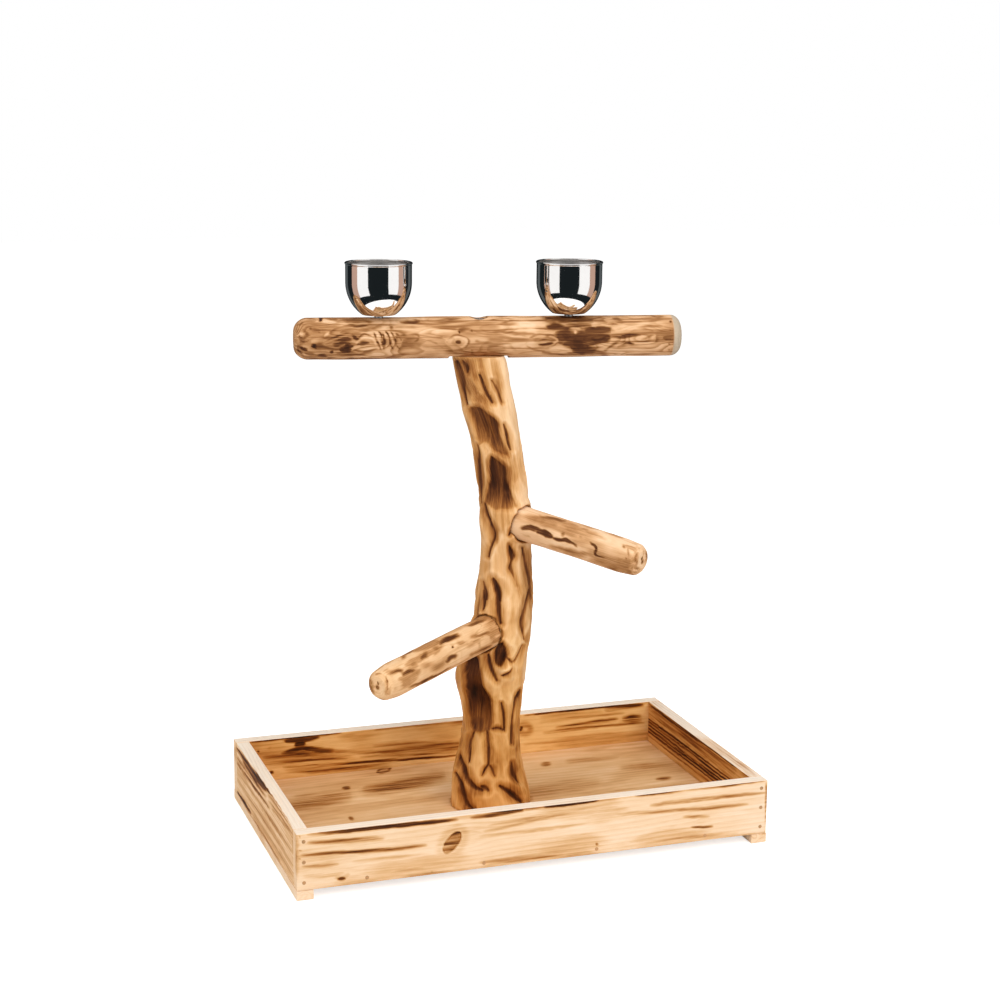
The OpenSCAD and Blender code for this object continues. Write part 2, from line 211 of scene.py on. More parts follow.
def inside(at, shape):
    """Distance from the rim of a closed shape, positive inside it."""
    shape = [tuple(c) for c in supple(shape, True, 4)]
    off, _ = to_line(at, shape + [shape[0]])
    within = np.zeros(len(at), bool)
    for (x0, y0), (x1, y1) in zip(shape, shape[1:] + shape[:1]):
        if y0 == y1:
            continue
        cross = (y0 > at[:, 1]) != (y1 > at[:, 1])
        within ^= cross & (at[:, 0] < (x1 - x0) * (at[:, 1] - y0) / (y1 - y0) + x0)
    return np.where(within, off, -off)


def strokes(at, ragged, marks, place, wander, rough_edge):
    """Darkest of some soft strokes. Each is (amount, width, softness, points)."""
    out = np.zeros(len(at))
    at = at + wander * wobble(place * 0.16, 301, 302)
    for amount, width, soft, points in marks:
        pts = np.array(points, float)
        reach = width + soft + 3
        near = ((at > pts.min(0) - reach) & (at < pts.max(0) + reach)).all(1)
        if not near.any():
            continue
        off, part = to_line(at[near], supple(points))
        closed = np.hypot(*(pts[0] - pts[-1])) < 0.1
        taper = 1.0 if closed else np.sqrt(np.sin(np.pi * np.clip(part, 0.0, 1.0)))
        off = off + rough_edge * ragged[near] * (0.35 * width + 0.3 * soft)
        core = 0.5 * width * (0.2 + 0.8 * taper)
        now = amount * (0.25 + 0.75 * taper) * (1 - smooth(off, core - 0.3 * soft, core + 0.9 * soft))
        out[near] = np.maximum(out[near], now)
    return out


def oval(x, y, long, short, tilt_deg, parts=10):
    """Points round an oval, the last one on the first."""
    cosine, sine = math.cos(math.radians(tilt_deg)), math.sin(math.radians(tilt_deg))
    turns = [2 * math.pi * k / parts for k in range(parts + 1)]
    offs = [(long * math.cos(turn), short * math.sin(turn)) for turn in turns]
    return [(x + u * cosine - w * sine, y + u * sine + w * cosine) for u, w in offs]


# Meshes
def placed(name, data):
    """A new object of the scene with this mesh, lamp or camera."""
    ob = bpy.data.objects.new(name, data)
    bpy.context.scene.collection.objects.link(ob)
    return ob


def plain(name, points, faces, *mats):
    """An object from points in metres and faces of any kind."""
    mesh = bpy.data.meshes.new(name)
    mesh.from_pydata(points, [], faces)
    for mat in mats:
        mesh.materials.append(mat)
    return placed(name, mesh)


def build(name, points, facts, *groups):
    """A smooth object from points in millimetres, their facts, and groups of quads or triangles."""
    mesh = bpy.data.meshes.new(name)
    corners = np.concatenate([faces.ravel() for faces in groups]).astype(np.int32)
    counts = np.concatenate([np.full(len(faces), faces.shape[1]) for faces in groups])
    mesh.vertices.add(len(points))
    mesh.vertices.foreach_set("co", (points * MM).astype(np.float32).ravel())
    mesh.loops.add(len(corners))
    mesh.loops.foreach_set("vertex_index", corners)
    mesh.polygons.add(len(counts))
    mesh.polygons.foreach_set("loop_start", (np.cumsum(counts) - counts).astype(np.int32))
    mesh.update(calc_edges=True)
    mesh.validate()
    soften(mesh)
    add_facts(mesh, facts)
    return placed(name, mesh)


def soften(mesh):
    mesh.polygons.foreach_set("use_smooth", np.ones(len(mesh.polygons), bool))


def add_facts(mesh, facts):
    """Point attributes from arrays of numbers or of vectors."""
    for key, val in facts.items():
        val = np.asarray(val, np.float32)
        kind, part = ("FLOAT_VECTOR", "vector") if val.ndim == 2 else ("FLOAT", "value")
        mesh.attributes.new(key, kind, "POINT").data.foreach_set(part, val.ravel())


def vectors_of(mesh, key):
    """The place or the normal of each point of a mesh."""
    flat = np.empty(len(mesh.vertices) * 3, np.float32)
    mesh.vertices.foreach_get(key, flat)
    return flat.reshape(-1, 3).astype(float)


def normals_of(points, *groups):
    """Normals of the points, from the quads and triangles that meet there."""
    normals = np.zeros_like(points)
    for faces in groups:
        one, other = (points[faces[:, far]] - points[faces[:, near]] for far, near in ((2, 0), (-1, 1)))
        face = np.cross(one, other)
        for corner in range(faces.shape[1]):
            np.add.at(normals, faces[:, corner], face)
    return normals / np.maximum(np.linalg.norm(normals, axis=1, keepdims=True), 1e-12)


def grid_faces(rings, sides, closed):
    """Quads of a grid of points. A closed one is a tube, wound outwards where its rings go up."""
    ring, side = np.meshgrid(np.arange(rings - 1), np.arange(sides if closed else sides - 1), indexing="ij")
    here = ring * sides + side
    beside = ring * sides + (side + 1) % sides
    return np.stack([here, beside, beside + sides, here + sides], -1).reshape(-1, 4)


def lathe(profile, sides):
    """Points and quads of a profile of (radius, height) turned about Z."""
    rings = np.array(profile, float)
    turn = np.arange(sides) * 2 * np.pi / sides
    far, up = rings[:, :1], np.repeat(rings[:, 1:], sides, 1)
    points = np.stack([far * np.cos(turn), far * np.sin(turn), up], -1)
    return points.reshape(-1, 3), grid_faces(len(rings), sides, True)


def round_box(lo, hi, step, radius):
    """Grid over the surface of a box with its arrises rounded over."""

    def ticks(a, b):
        """Places of the grid's lines from a to b, close together at both rims."""
        edge = [a, a + 0.22 * radius, a + 0.5 * radius]
        count = max(2, int(round((b - a - 2 * radius) / step)))
        middle = list(np.linspace(a + radius, b - radius, count + 1))
        return np.array(edge + middle + [b - (e - a) for e in reversed(edge)])

    lines = [ticks(lo[k], hi[k]) for k in range(3)]
    points, quads, base = [], [], 0
    for axis, a, b in ((0, 1, 2), (1, 2, 0), (2, 0, 1)):
        ga, gb = np.meshgrid(lines[a], lines[b], indexing="ij")
        for side in (0, 1):
            face = np.empty(ga.shape + (3,))
            face[..., a], face[..., b] = ga, gb
            face[..., axis] = hi[axis] if side else lo[axis]
            squares = base + grid_faces(*ga.shape, False)[:, [0, 3, 2, 1]]
            points.append(face.reshape(-1, 3))
            quads.append(squares if side else squares[:, ::-1])
            base += ga.size
    points, quads = np.concatenate(points), np.concatenate(quads)
    places = np.round(points * 1e4).astype(np.int64)
    _, first, back = np.unique(places, axis=0, return_index=True, return_inverse=True)
    points, quads = points[first], back.reshape(-1)[quads]
    core = np.clip(points, lo + radius, hi - radius)
    off = points - core
    return core + radius * off / np.maximum(np.linalg.norm(off, axis=1, keepdims=True), 1e-9), quads


# Materials
class Net:
    """Short names for the nodes of one material or world."""

    def __init__(self, owner):
        owner.use_nodes = True
        self.owner = owner
        self.nodes, self.links = owner.node_tree.nodes, owner.node_tree.links
        self.nodes.clear()

    def node(self, kind, inputs=None, **settings):
        """A new node. Each input is a value or another node's output."""
        n = self.nodes.new(kind)
        for key, value in settings.items():
            setattr(n, key, value)
        for key, value in (inputs or {}).items():
            if isinstance(value, bpy.types.NodeSocket):
                self.links.new(value, n.inputs[key])
            else:
                n.inputs[key].default_value = value
        return n

    def fact(self, name, output="Fac"):
        return self.node("ShaderNodeAttribute", attribute_name=name).outputs[output]

    def place(self):
        return self.node("ShaderNodeTexCoord").outputs["Object"]

    def math(self, op, a, b=0.0, c=0.0, clamp=False):
        return self.node("ShaderNodeMath", {0: a, 1: b, 2: c}, operation=op, use_clamp=clamp).outputs[0]

    def plus(self, value, amount, to, clamp=False):
        return self.math("MULTIPLY_ADD", value, amount, to, clamp)

    def sway(self, fac, amount, around, clamp=False):
        """The value around, moved up and down by a noise from 0 to 1."""
        return self.plus(self.math("SUBTRACT", fac, 0.5), amount, around, clamp)

    def stretched(self, vec, scale, move=(0, 0, 0)):
        return self.node("ShaderNodeMapping", {"Vector": vec, "Scale": scale, "Location": move}).outputs[0]

    def noise(self, vec, detail, rough=0.55, scale=1.0, stretch=(1, 1, 1), move=(0, 0, 0)):
        """Noise from 0 to 1 at a place that is stretched and moved first."""
        vec = self.stretched(vec, stretch, move)
        inputs = {"Vector": vec, "Scale": scale, "Detail": detail, "Roughness": rough}
        return self.node("ShaderNodeTexNoise", inputs).outputs["Fac"]

    def ramp(self, fac, stops):
        n = self.node("ShaderNodeValToRGB", {0: fac})
        elements = n.color_ramp.elements
        while len(elements) < len(stops):
            elements.new(0.5)
        for element, (at, colour) in zip(elements, stops):
            element.position = at
            element.color = colour
        return n.outputs["Color"]

    def level(self, fac, stops):
        return self.ramp(fac, [(at, (x, x, x, 1.0)) for at, x in stops])

    def mix(self, factor, a, b, blend="MIX"):
        inputs = {0: factor, 6: a, 7: b}
        return self.node("ShaderNodeMix", inputs, data_type="RGBA", blend_type=blend).outputs[2]

    def bump(self, height, strength, distance):
        inputs = {"Strength": strength, "Distance": distance, "Height": height}
        return self.node("ShaderNodeBump", inputs).outputs[0]

    def glow(self, colour, strength, kind="ShaderNodeEmission"):
        return self.node(kind, {"Color": colour, "Strength": strength}).outputs[0]

    def direct(self):
        """1 for what the camera sees, straight, mirrored or through glass, and 0 for scattered light."""
        rays = self.node("ShaderNodeLightPath").outputs
        straight = self.math("MAXIMUM", rays["Is Camera Ray"], rays["Is Glossy Ray"])
        return self.math("MAXIMUM", straight, rays["Is Transmission Ray"])

    def close(self, shader, kind="ShaderNodeOutputMaterial"):
        """Sends a shader to the output."""
        self.node(kind, {0: shader})
        return self.owner

    def surface(self, **sockets):
        """Closes the material with a principled shader."""
        inputs = {key.replace("_", " "): value for key, value in sockets.items()}
        return self.close(self.node("ShaderNodeBsdfPrincipled", inputs).outputs[0])


def stops(*rows):
    """Stops of a colour ramp from (place, red, green, blue)."""
    return [(at, srgb(*colour)) for at, *colour in rows]


PINE = stops((0, 250, 224, 195), (0.12, 244, 208, 168), (0.26, 226, 180, 129), (0.4, 204, 152, 98),
             (0.55, 172, 112, 56), (0.7, 122, 69, 27), (0.85, 70, 36, 14), (1, 34, 18, 8))
LIMB = stops((0, 246, 208, 166), (0.16, 228, 180, 128), (0.32, 204, 149, 90), (0.48, 166, 108, 54),
             (0.64, 122, 71, 31), (0.82, 74, 37, 15), (1, 38, 18, 8))
LIMB_PALE = stops((0, 249, 216, 181), (0.16, 232, 189, 147), (0.32, 209, 160, 114), (0.48, 176, 126, 80),
                  (0.64, 136, 88, 48), (0.82, 86, 47, 22), (1, 44, 23, 12))
LATE_WOOD = [(0.0, 0.1), (0.4, 0.2), (0.78, 1.0), (0.9, 0.9), (1.0, 0.1)]
HONEY = (1.0, 0.89, 0.56, 1.0)


def wood(name, colours, rings, fibres, mottle, relief, base, char=1.45, rough=(0.62, 0.78), solid=False,
         sanded_and_top_light=None):
    """Wood that reads its grain, its rings, its char and its tone from the piece, or from its own place
    if solid. sanded_and_top_light is the pale colour of sanded wood and of painted top light, where
    the piece says that it has some."""
    net = Net(bpy.data.materials.new(name))
    if solid:
        flow, tone = net.stretched(net.place(), (1000, 1000, 1000)), 0.0
        ring = net.math("MULTIPLY", net.noise(flow, 1.0, stretch=(0.05, 0.004, 0.09)), 9.0)
        burn = net.sway(net.noise(flow, 3.0, stretch=(0.03, 0.01, 0.05)), 0.9, 0.0, clamp=True)
    else:
        flow, tone = net.fact("flow", "Vector"), net.fact("tone")
        ring, burn = net.fact("ring"), net.fact("burn")
    fine = net.noise(flow, 5.0, 0.62, stretch=(0.035, 0.9, 0.9))
    pores = net.noise(flow, 3.0, 0.6, stretch=(0.16, 3.2, 3.2), move=(7, 3, 5))
    cloud = net.noise(flow, 4.0, 0.6, stretch=(0.012, 0.05, 0.05), move=(3, 9, 1))
    patchy = net.noise(flow, 3.0, 0.55, stretch=(0.006, 0.03, 0.03), move=(11, 4, 8))
    late = net.level(net.math("FRACT", net.plus(fine, 0.5, ring)), LATE_WOOD)
    late = net.math("MULTIPLY", late, net.level(patchy, [(0.36, 0.25), (0.62, 1.0)]))
    value = net.sway(fine, fibres * 2, net.plus(late, rings, base))
    value = net.sway(cloud, mottle * 2, net.sway(pores, fibres, value))
    value = net.math("ADD", value, tone)
    # Char licks along the fibres, and is blackest where it is strongest
    lick = net.plus(late, 0.22, net.sway(pores, 0.35, net.sway(fine, 0.55, 1.0)))
    scorch = net.math("MULTIPLY", net.math("MULTIPLY", burn, lick), char, clamp=True)
    black = net.plus(burn, 5.0, -4.4, clamp=True)
    deep = net.plus(black, 0.15, net.sway(fine, 0.45, net.plus(late, 0.1, 0.77)))
    value = net.plus(scorch, net.math("SUBTRACT", deep, value), value, clamp=True)
    colour = net.ramp(value, colours)
    if not solid:
        colour = net.mix(net.fact("warm"), colour, HONEY, "MULTIPLY")
    # The pale colour stands for sanded wood, and for painted top light on the tops of the tray's walls
    if sanded_and_top_light:
        sanded = net.plus(late, -0.3, net.math("ADD", pores, 0.1))
        pale = net.ramp(sanded, [(0.25, dimmed(sanded_and_top_light, 0.8)), (0.6, sanded_and_top_light)])
        colour = net.mix(net.fact("sanded_and_top_light"), colour, pale)
    gloss = net.plus(scorch, rough[1] - rough[0], net.sway(fine, 0.25, rough[0]), clamp=True)
    height = net.plus(scorch, -0.8, net.plus(late, 0.35, net.plus(pores, 0.5, fine)))
    grain = net.bump(height, relief, 0.0004)
    return net.surface(Base_Color=colour, Roughness=gloss, Normal=grain, IOR=1.45, Specular_IOR_Level=0.16)


def steel(name, colour, rough, wear, scale, relief, dark, satin=0.0):
    """Metal with a faint uneven polish, fine scratches and some tarnish. satin adds roughness where the
    piece says so."""
    net = Net(bpy.data.materials.new(name))
    patch = net.noise(net.place(), 4.0, 0.6, scale)
    hair = net.noise(net.place(), 2.0, 0.5, scale * 22, stretch=(1, 1, 6))
    gloss = net.plus(hair, wear * 0.5, net.plus(patch, wear, rough), clamp=True)
    if satin:
        gloss = net.plus(net.fact("satin"), satin, gloss, clamp=True)
    tint = net.ramp(patch, [(0.3, dimmed(colour, 1 - dark)), (0.62, colour)])
    scratches = net.bump(hair, relief, 0.0001)
    return net.surface(Base_Color=tint, Metallic=1.0, Roughness=gloss, Normal=scratches)


def rubber(name):
    """Dark rubber with some dust on it."""
    net = Net(bpy.data.materials.new(name))
    grain = net.noise(net.place(), 4.0, 0.6, 900)
    dust = net.noise(net.place(), 3.0, 0.6, 160)
    tint = net.ramp(dust, stops((0.3, 34, 34, 36), (0.7, 58, 57, 56)))
    gloss = net.plus(grain, 0.2, 0.62)
    return net.surface(Base_Color=tint, Roughness=gloss, Normal=net.bump(grain, 0.25, 0.0002))


LIMB_GLOSS = (0.5, 0.64)
WOODS = {
    "tray_wood": dict(colours=PINE, rings=0.09, fibres=0.1, mottle=0.14, relief=0.45, base=0.06,
                      sanded_and_top_light=srgb(252, 239, 223)),
    "floor_wood": dict(colours=PINE, rings=0.08, fibres=0.07, mottle=0.14, relief=0.3, base=0.08),
    "runner_wood": dict(colours=PINE, rings=0.12, fibres=0.09, mottle=0.1, relief=0.4, base=0.04,
                        solid=True),
    "trunk_wood": dict(colours=LIMB, rings=0.03, fibres=0.1, mottle=0.14, relief=0.45, base=0.08, char=1.25,
                       rough=(0.44, 0.6)),
    "perch_wood": dict(colours=LIMB_PALE, rings=0.3, fibres=0.07, mottle=0.1, relief=0.35, base=0.15,
                       rough=LIMB_GLOSS, sanded_and_top_light=srgb(192, 174, 151)),
    "branch_wood": dict(colours=LIMB_PALE, rings=0.08, fibres=0.1, mottle=0.12, relief=0.35, base=0.1,
                        rough=LIMB_GLOSS),
}
STEELS = {
    "nail_steel": dict(colour=srgb(216, 172, 126), rough=0.55, wear=0.2, scale=300, relief=0.15, dark=0.3),
    "bolt_steel": dict(colour=srgb(186, 188, 190), rough=0.28, wear=0.2, scale=260, relief=0.1, dark=0.25),
    "cup_steel": dict(colour=srgb(234, 232, 230), rough=0.03, wear=0.04, scale=60, relief=0.008, dark=0.04,
                      satin=0.32),
}
MATS = {name: wood(name, **looks) for name, looks in WOODS.items()}
MATS.update({name: steel(name, **looks) for name, looks in STEELS.items()})
MATS["soft_washer"] = rubber("soft_washer")


def coat(ob, slot):
    """Gives a piece its material."""
    ob.data.materials.clear()
    ob.data.materials.append(MATS[slot])


def dress(ob, body, slot, *nodes):
    """Gives a piece its material and its body, and hides the CAD nodes that it stands in for."""
    coat(ob, slot)
    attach(ob, body)
    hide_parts(*nodes)


# Tray boards
def on_face(normals, axis, side):
    """Which normals point mostly along this axis, to this side."""
    return (np.abs(normals).argmax(1) == axis) & (np.sign(normals[:, axis]) == side)


def by_face(normals, amounts):
    """The amount of each point's face, from [(axis, side, amount)]."""
    nothing = np.zeros(len(normals))
    return sum((amount * on_face(normals, axis, side) for axis, side, amount in amounts), nothing)


def grained(axis, along, across):
    """A factor for x, y and z: one along the grain and one across it."""
    return np.where(np.arange(3) == axis, along, across)


def grain_lines(along, aside, knots, seed, spacing, drift):
    """Ring coordinate of a sawn face, for places along the grain and aside of it, parted round knots."""
    at = np.stack([along * 0.0045, aside * 0.012, np.full_like(along, seed * 3.7)], 1)
    across = aside + drift * 2 * fbm(at, seed, 2)
    for ku, kw, kr in knots:
        du, dw = (along - ku) / 2.2, aside - kw
        rho2 = np.maximum(du * du + dw * dw, kr * kr)
        across = across - dw * (kr * kr) * 1.1 / rho2
    return across / spacing


def knot_marks(along, aside, knots, seed):
    """Char and ring values of the knots themselves, and where they are."""
    burn, ring, within = np.zeros((3, len(along)))
    at = np.stack([along * 0.3, aside * 0.3, np.full_like(along, seed)], 1)
    for ku, kw, kr in knots:
        if kr < 0:
            continue
        rho = np.hypot((along - ku) / 1.25, aside - kw) * (1 + 0.3 * noise(at, seed + 3))
        core = 1 - smooth(rho, kr * 0.75, kr)
        rim = hill(rho - kr, 0.22 * kr + 0.3)
        halo = 1 - smooth(rho, kr, kr * 2.2)
        burn = np.maximum(burn, (0.34 + 0.3 * noise(at * 2.2, seed + 5)) * core + 0.26 * rim + 0.1 * halo)
        ring = np.where(rho < kr, rho * 0.9, ring)
        within = np.maximum(within, core)
    return burn, ring, within


def sawn_faces(along, flow, normals, mid, axes, knots_by_face, seed, spacing, drift):
    """Rings and char of a board: long lines on its four sides, rings about a pith far below at its ends."""
    axis, wide, thin = axes
    ring, burn = np.zeros((2, len(along)))
    for k in range(3):
        for side in (-1, 1):
            here = on_face(normals, k, side)
            if k == axis:
                px = flow[here, 1] + 14 * math.sin(seed)
                pz = flow[here, 2] - side * 6 + 46
                ring[here] = np.hypot(px, pz * 1.1) / spacing
                burn[here] = 0.04
                continue
            column, across = (1, wide) if k == thin else (2, thin)
            knots = [(a, b - mid[across], r) for a, b, r in knots_by_face.get((k, side), [])]
            at = along[here], flow[here, column], knots
            burn[here], kring, within = knot_marks(*at, seed + 11)
            grain = grain_lines(*at, seed + 5 * k + side, spacing, drift)
            ring[here] = np.where(within > 0.5, kring, grain)
    return ring, burn


def board(name, node, lo, hi, axis, step, seed, marks, knots, spacing, slot="tray_wood", drift=5.0,
          edges=0.3, streaks=0.0, rounding=1.0, licks=0.22, shade=(), painted_warm_light=(), lean=0.0):
    """A sawn board whose grain runs along axis. marks is [(axis, side, strokes)], knots is
    {(axis, side): [(along, across, radius)]}, and a knot of negative radius only parts the grain."""
    lo, hi = np.array(lo, float), np.array(hi, float)
    points, quads = round_box(lo, hi, step, rounding)
    normals = normals_of(points, quads)
    mid, size = (lo + hi) / 2, hi - lo
    thin, wide = sorted([k for k in range(3) if k != axis], key=lambda k: size[k])
    is_wall = hi[2] > FLOOR_TOP
    along = points[:, axis]
    flow = np.stack([along + seed * 137.0, points[:, wide] - mid[wide], points[:, thin] - mid[thin]], 1)
    at = points + seed * 53.0
    ring, burn = sawn_faces(along, flow, normals, mid, (axis, wide, thin), knots, seed, spacing, drift)
    ragged = fbm(at * 0.16 * grained(axis, 0.35, 1.6), seed + 2, 3)
    # Flame marks: soft along the grain, darker in streaks
    burn += licks * smooth(fbm(at * grained(axis, 0.011, 0.045), seed + 4, 4), 0.06, 0.46)
    fibre = grained(axis, 0.018, 0.55)
    streak = fbm(at * fibre, seed + 6, 3)
    burn += streaks * smooth(streak, 0.02, 0.3)
    # Arrises are scorched in patches
    rim = np.minimum(points - lo, hi - points)[:, [axis, wide]].min(1)
    patch = smooth(fbm(at * 0.021, seed + 8, 3), -0.08, 0.28)
    upright = 1 - smooth(np.abs(normals[:, 2]), 0.4, 0.8)
    burn += edges * patch * (1 - smooth(rim + 2.2 * ragged, 0.3, 3.6)) * upright
    for k, side, lines in marks:
        here = on_face(normals, k, side)
        drawn = strokes(seen(points[here]), ragged[here], lines, at[here], 0.3, 0.3)
        drawn = drawn * facing(points[here], normals[here], 0.02, 0.12)
        burn[here] = np.maximum(burn[here], drawn * np.clip(0.92 + 1.1 * streak[here], 0.35, 1.25))
    # Painted light: the tops of the walls are lighter, and each face is darkened by its painted shade
    tone = 0.05 * fbm(at * 0.014, seed + 9, 2) - 0.05 * smooth(normals[:, 2], 0.5, 0.9) * is_wall
    tone = tone + lean * along / hi[axis] + by_face(normals, shade)
    sink = 0.12 * (0.5 + 0.5 * fbm(at * fibre * 0.8, seed + 12, 2)) + 0.22 * np.clip(burn, 0, 1)
    # The pale tops of the walls are painted top light and sanded wood, where they are not charred
    sanded_and_top_light = 0.8 * smooth(normals[:, 2], 0.6, 0.9) * is_wall * (1 - smooth(burn, 0.1, 0.4))
    sanded_and_top_light = sanded_and_top_light * (0.8 + 0.5 * streak)
    # Each face takes its painted warm light, the warm bounce light inside the tray
    facts = {"flow": flow, "ring": ring, "burn": np.clip(burn, 0, 1.1), "tone": tone,
             "warm": by_face(normals, painted_warm_light), "sanded_and_top_light": np.clip(sanded_and_top_light, 0, 1)}
    dress(build(name, points - normals * sink[:, None], facts, quads), "stand", slot, node)


# Scorch marks of the boards: (amount, width, softness, points) where the photographer's camera sees them
FRONT_SCORCH = [
    (0.4, 2, 2, [(306, 834.6), (330, 832.4), (352, 830.2)]),
    (0.92, 3.2, 2.2, [(316, 833.6), (390, 826.2), (458, 819.2)]),
    (0.6, 1.8, 1.6, [(352, 829.6), (400, 825), (440, 820.6)]),
    (0.92, 3.4, 2, [(470, 817.4), (498, 813.8), (524, 809.8)]), (0.4, 1.6, 2, [(518, 810), (547, 806.5)]),
    (0.85, 3.2, 2, [(543, 806.8), (570, 803.6), (600, 799.8)]),
    (0.35, 1.8, 2.4, [(596, 801), (622, 797.5)]),
    (0.85, 3.2, 2, [(634, 795.4), (660, 792.2), (688, 788.8)]),
    (0.8, 2.8, 2, [(680, 789.8), (724, 785.2), (766, 780)]),
    (0.42, 2.4, 2.8, [(308, 842.5), (345, 841), (384, 838)]),
    (0.62, 2, 2.2, [(300, 855.5), (335, 853), (385, 850), (427, 845)]),
    (0.44, 1.8, 2.4, [(302, 867), (320, 866), (339, 864)]),
    (0.24, 2, 3, [(303, 877), (325, 876), (345, 873)]), (0.22, 2, 3, [(352, 862), (390, 858), (430, 855)]),
    (0.2, 2, 3, [(360, 874), (400, 870), (426, 868)]),
    (0.3, 1.6, 2.4, [(484, 832), (540, 819), (604, 805.5)]),
    (0.26, 1.6, 2.4, [(480, 837), (540, 829.5), (595, 822)]),
    (0.24, 1.6, 2.6, [(488, 826), (530, 818), (560, 812)]),
    (0.6, 2, 2, [(650, 805.5), (700, 799), (766, 792.5)]),
    (0.34, 1.6, 2.2, [(614, 815), (660, 811.5), (706, 808)]),
    (0.42, 1.7, 2.2, [(664, 811), (710, 808), (748, 804)]), (0.36, 1.6, 2, [(683, 817), (710, 816.5)]),
    (0.62, 1.3, 1.2, [(691, 827.5), (702, 827.2), (713, 826.3)]),
    (0.5, 3, 2.4, oval(452.3, 842.6, 9.6, 3.2, -53)), (0.5, 3, 2.4, oval(452.3, 842.6, 6, 1, -53)),
    (0.6, 1.2, 1.4, oval(452.3, 842.6, 12.4, 5.2, -53)), (0.12, 3, 6, oval(452.3, 842.6, 17, 9.5, -53)),
    (0.85, 2.8, 1.8, [(337.6, 879.4), (346, 878.2)]), (0.25, 2.4, 3, [(334, 876), (342, 878), (350, 874)]),
    (0.3, 2, 1.8, [(430.6, 872.8), (434, 872.2)]), (0.45, 2, 1.6, [(596.8, 844.6)]),
    (0.5, 1.1, 0.9, [(299.8, 836.6)]), (0.45, 1, 0.9, [(300.4, 850.6)]), (0.45, 1, 0.9, [(299.4, 859)]),
    (0.34, 2.4, 3.6, [(480, 863), (520, 859), (566, 855)]),
    (0.3, 2.4, 3.6, [(629, 842), (690, 838), (738, 834)]),
    (0.3, 2, 3, [(316, 891), (370, 886), (420, 880)]),
    (0.5, 1.4, 1.6, [(766.5, 782), (766.5, 800), (766.2, 826)]),
]
BACK_SCORCH = [
    (0.9, 2.6, 1.6, [(248, 741), (268, 739.5), (290, 737.5)]),
    (1, 7, 2.4, [(284, 740), (302, 738), (320, 735.4)]),
    (0.8, 3, 2, [(312, 735), (326, 733.6), (342, 731.8)]),
    (0.36, 1.8, 1.6, [(336, 731.6), (380, 728), (430, 724.3), (464, 721.6)]),
    (0.9, 8, 3, [(301, 738), (300, 744), (299, 750)]), (0.8, 4, 3, [(302, 743), (297, 749.5), (280, 755)]),
    (0.8, 3.6, 3, [(299, 743), (308, 749), (336, 751.6)]),
    (0.6, 4, 4, [(288, 753), (300, 752), (314, 751.5)]),
    (0.45, 4, 4, [(262, 757.5), (294, 755.5), (330, 753)]),
    (0.26, 9, 6, [(258, 762), (300, 759), (352, 756)]),
    (0.42, 8, 4, [(372, 747.6), (424, 747), (480, 745)]),
    (0.5, 2.6, 2.8, [(312, 750.5), (345, 751.8), (383, 751.6), (420, 751), (462, 750.4)]),
    (0.75, 1.5, 1.6, [(283, 767.2), (330, 764.6), (380, 761), (430, 757.5), (462, 755)]),
    (0.6, 1.6, 2.2, [(277, 762.6), (310, 760.5), (348, 758.4)]),
    (0.5, 1.6, 2.2, [(360, 757.5), (410, 754.5), (455, 752.5)]),
    (0.2, 2, 2.6, [(272, 746), (268, 750), (262, 752.5)]),
    (0.5, 2.6, 4, [(286, 771), (330, 769.5), (390, 765)]), (0.9, 1.6, 1.5, [(257, 751), (259.5, 751.8)]),
    (0.95, 2.8, 1.8, [(271, 770.5), (272.2, 774)]),
    (0.92, 2, 1.4, [(524, 715), (580, 709.2), (646, 702.6)]),
    (0.25, 2.6, 3, [(540, 717.5), (570, 714.5), (604, 710.6)]),
    (0.8, 3.4, 2.4, [(604, 710), (626, 706.6), (644, 705)]), (0.98, 4, 2, [(520.5, 728.5), (522.5, 729.6)]),
    (0.32, 3.4, 4, oval(525, 729.4, 5.4, 4.4, 0)), (0.72, 1.8, 2, [(543, 733), (590, 727), (644, 723)]),
    (0.62, 2, 2.2, [(556, 728), (590, 723), (618, 719)]), (0.66, 6, 4.6, [(622, 721), (642, 718.6)]),
    (0.4, 1.4, 2.2, [(524, 745), (570, 740), (612, 735)]),
    (0.34, 1.6, 2.6, [(540, 722), (580, 717), (624, 713)]),
]
LEFT_SCORCH = [
    (0.9, 2.4, 1.4, [(235, 746.4), (247, 763), (256, 776), (270, 794)]),
    (0.75, 4, 2.4, [(243, 760), (256, 778), (268, 792)]),
    (0.6, 1.6, 1.6, [(236, 756), (250, 775), (266, 797)]),
    (0.5, 2.2, 2, [(268, 794), (282, 812), (296, 832)]),
    (0.55, 1.3, 1.4, [(236, 762), (254, 787), (270, 809)]),
    (0.5, 1.2, 1.4, [(268, 800), (282, 819), (296, 840)]),
    (0.45, 1.2, 1.8, [(272, 808), (284, 824), (295, 841)]),
    (0.36, 1.4, 2, [(236, 770), (258, 801), (280, 834), (295, 856)]),
    (0.3, 1.6, 2.4, [(236, 778), (256, 808), (278, 842), (294, 868)]),
    (0.26, 1.6, 2.4, [(236, 786), (256, 818), (278, 852), (294, 878)]),
    (0.95, 2.4, 1.6, [(235, 789), (243, 801.5), (251, 814.5)]),
    (0.4, 1.6, 2, [(252, 817), (266, 840), (280, 862)]),
]
LEFT_TOP_SCORCH = [
    (0.75, 0.9, 1.1, [(235, 745), (247, 760.5), (262, 781.5), (280, 808), (293, 828)]),
]
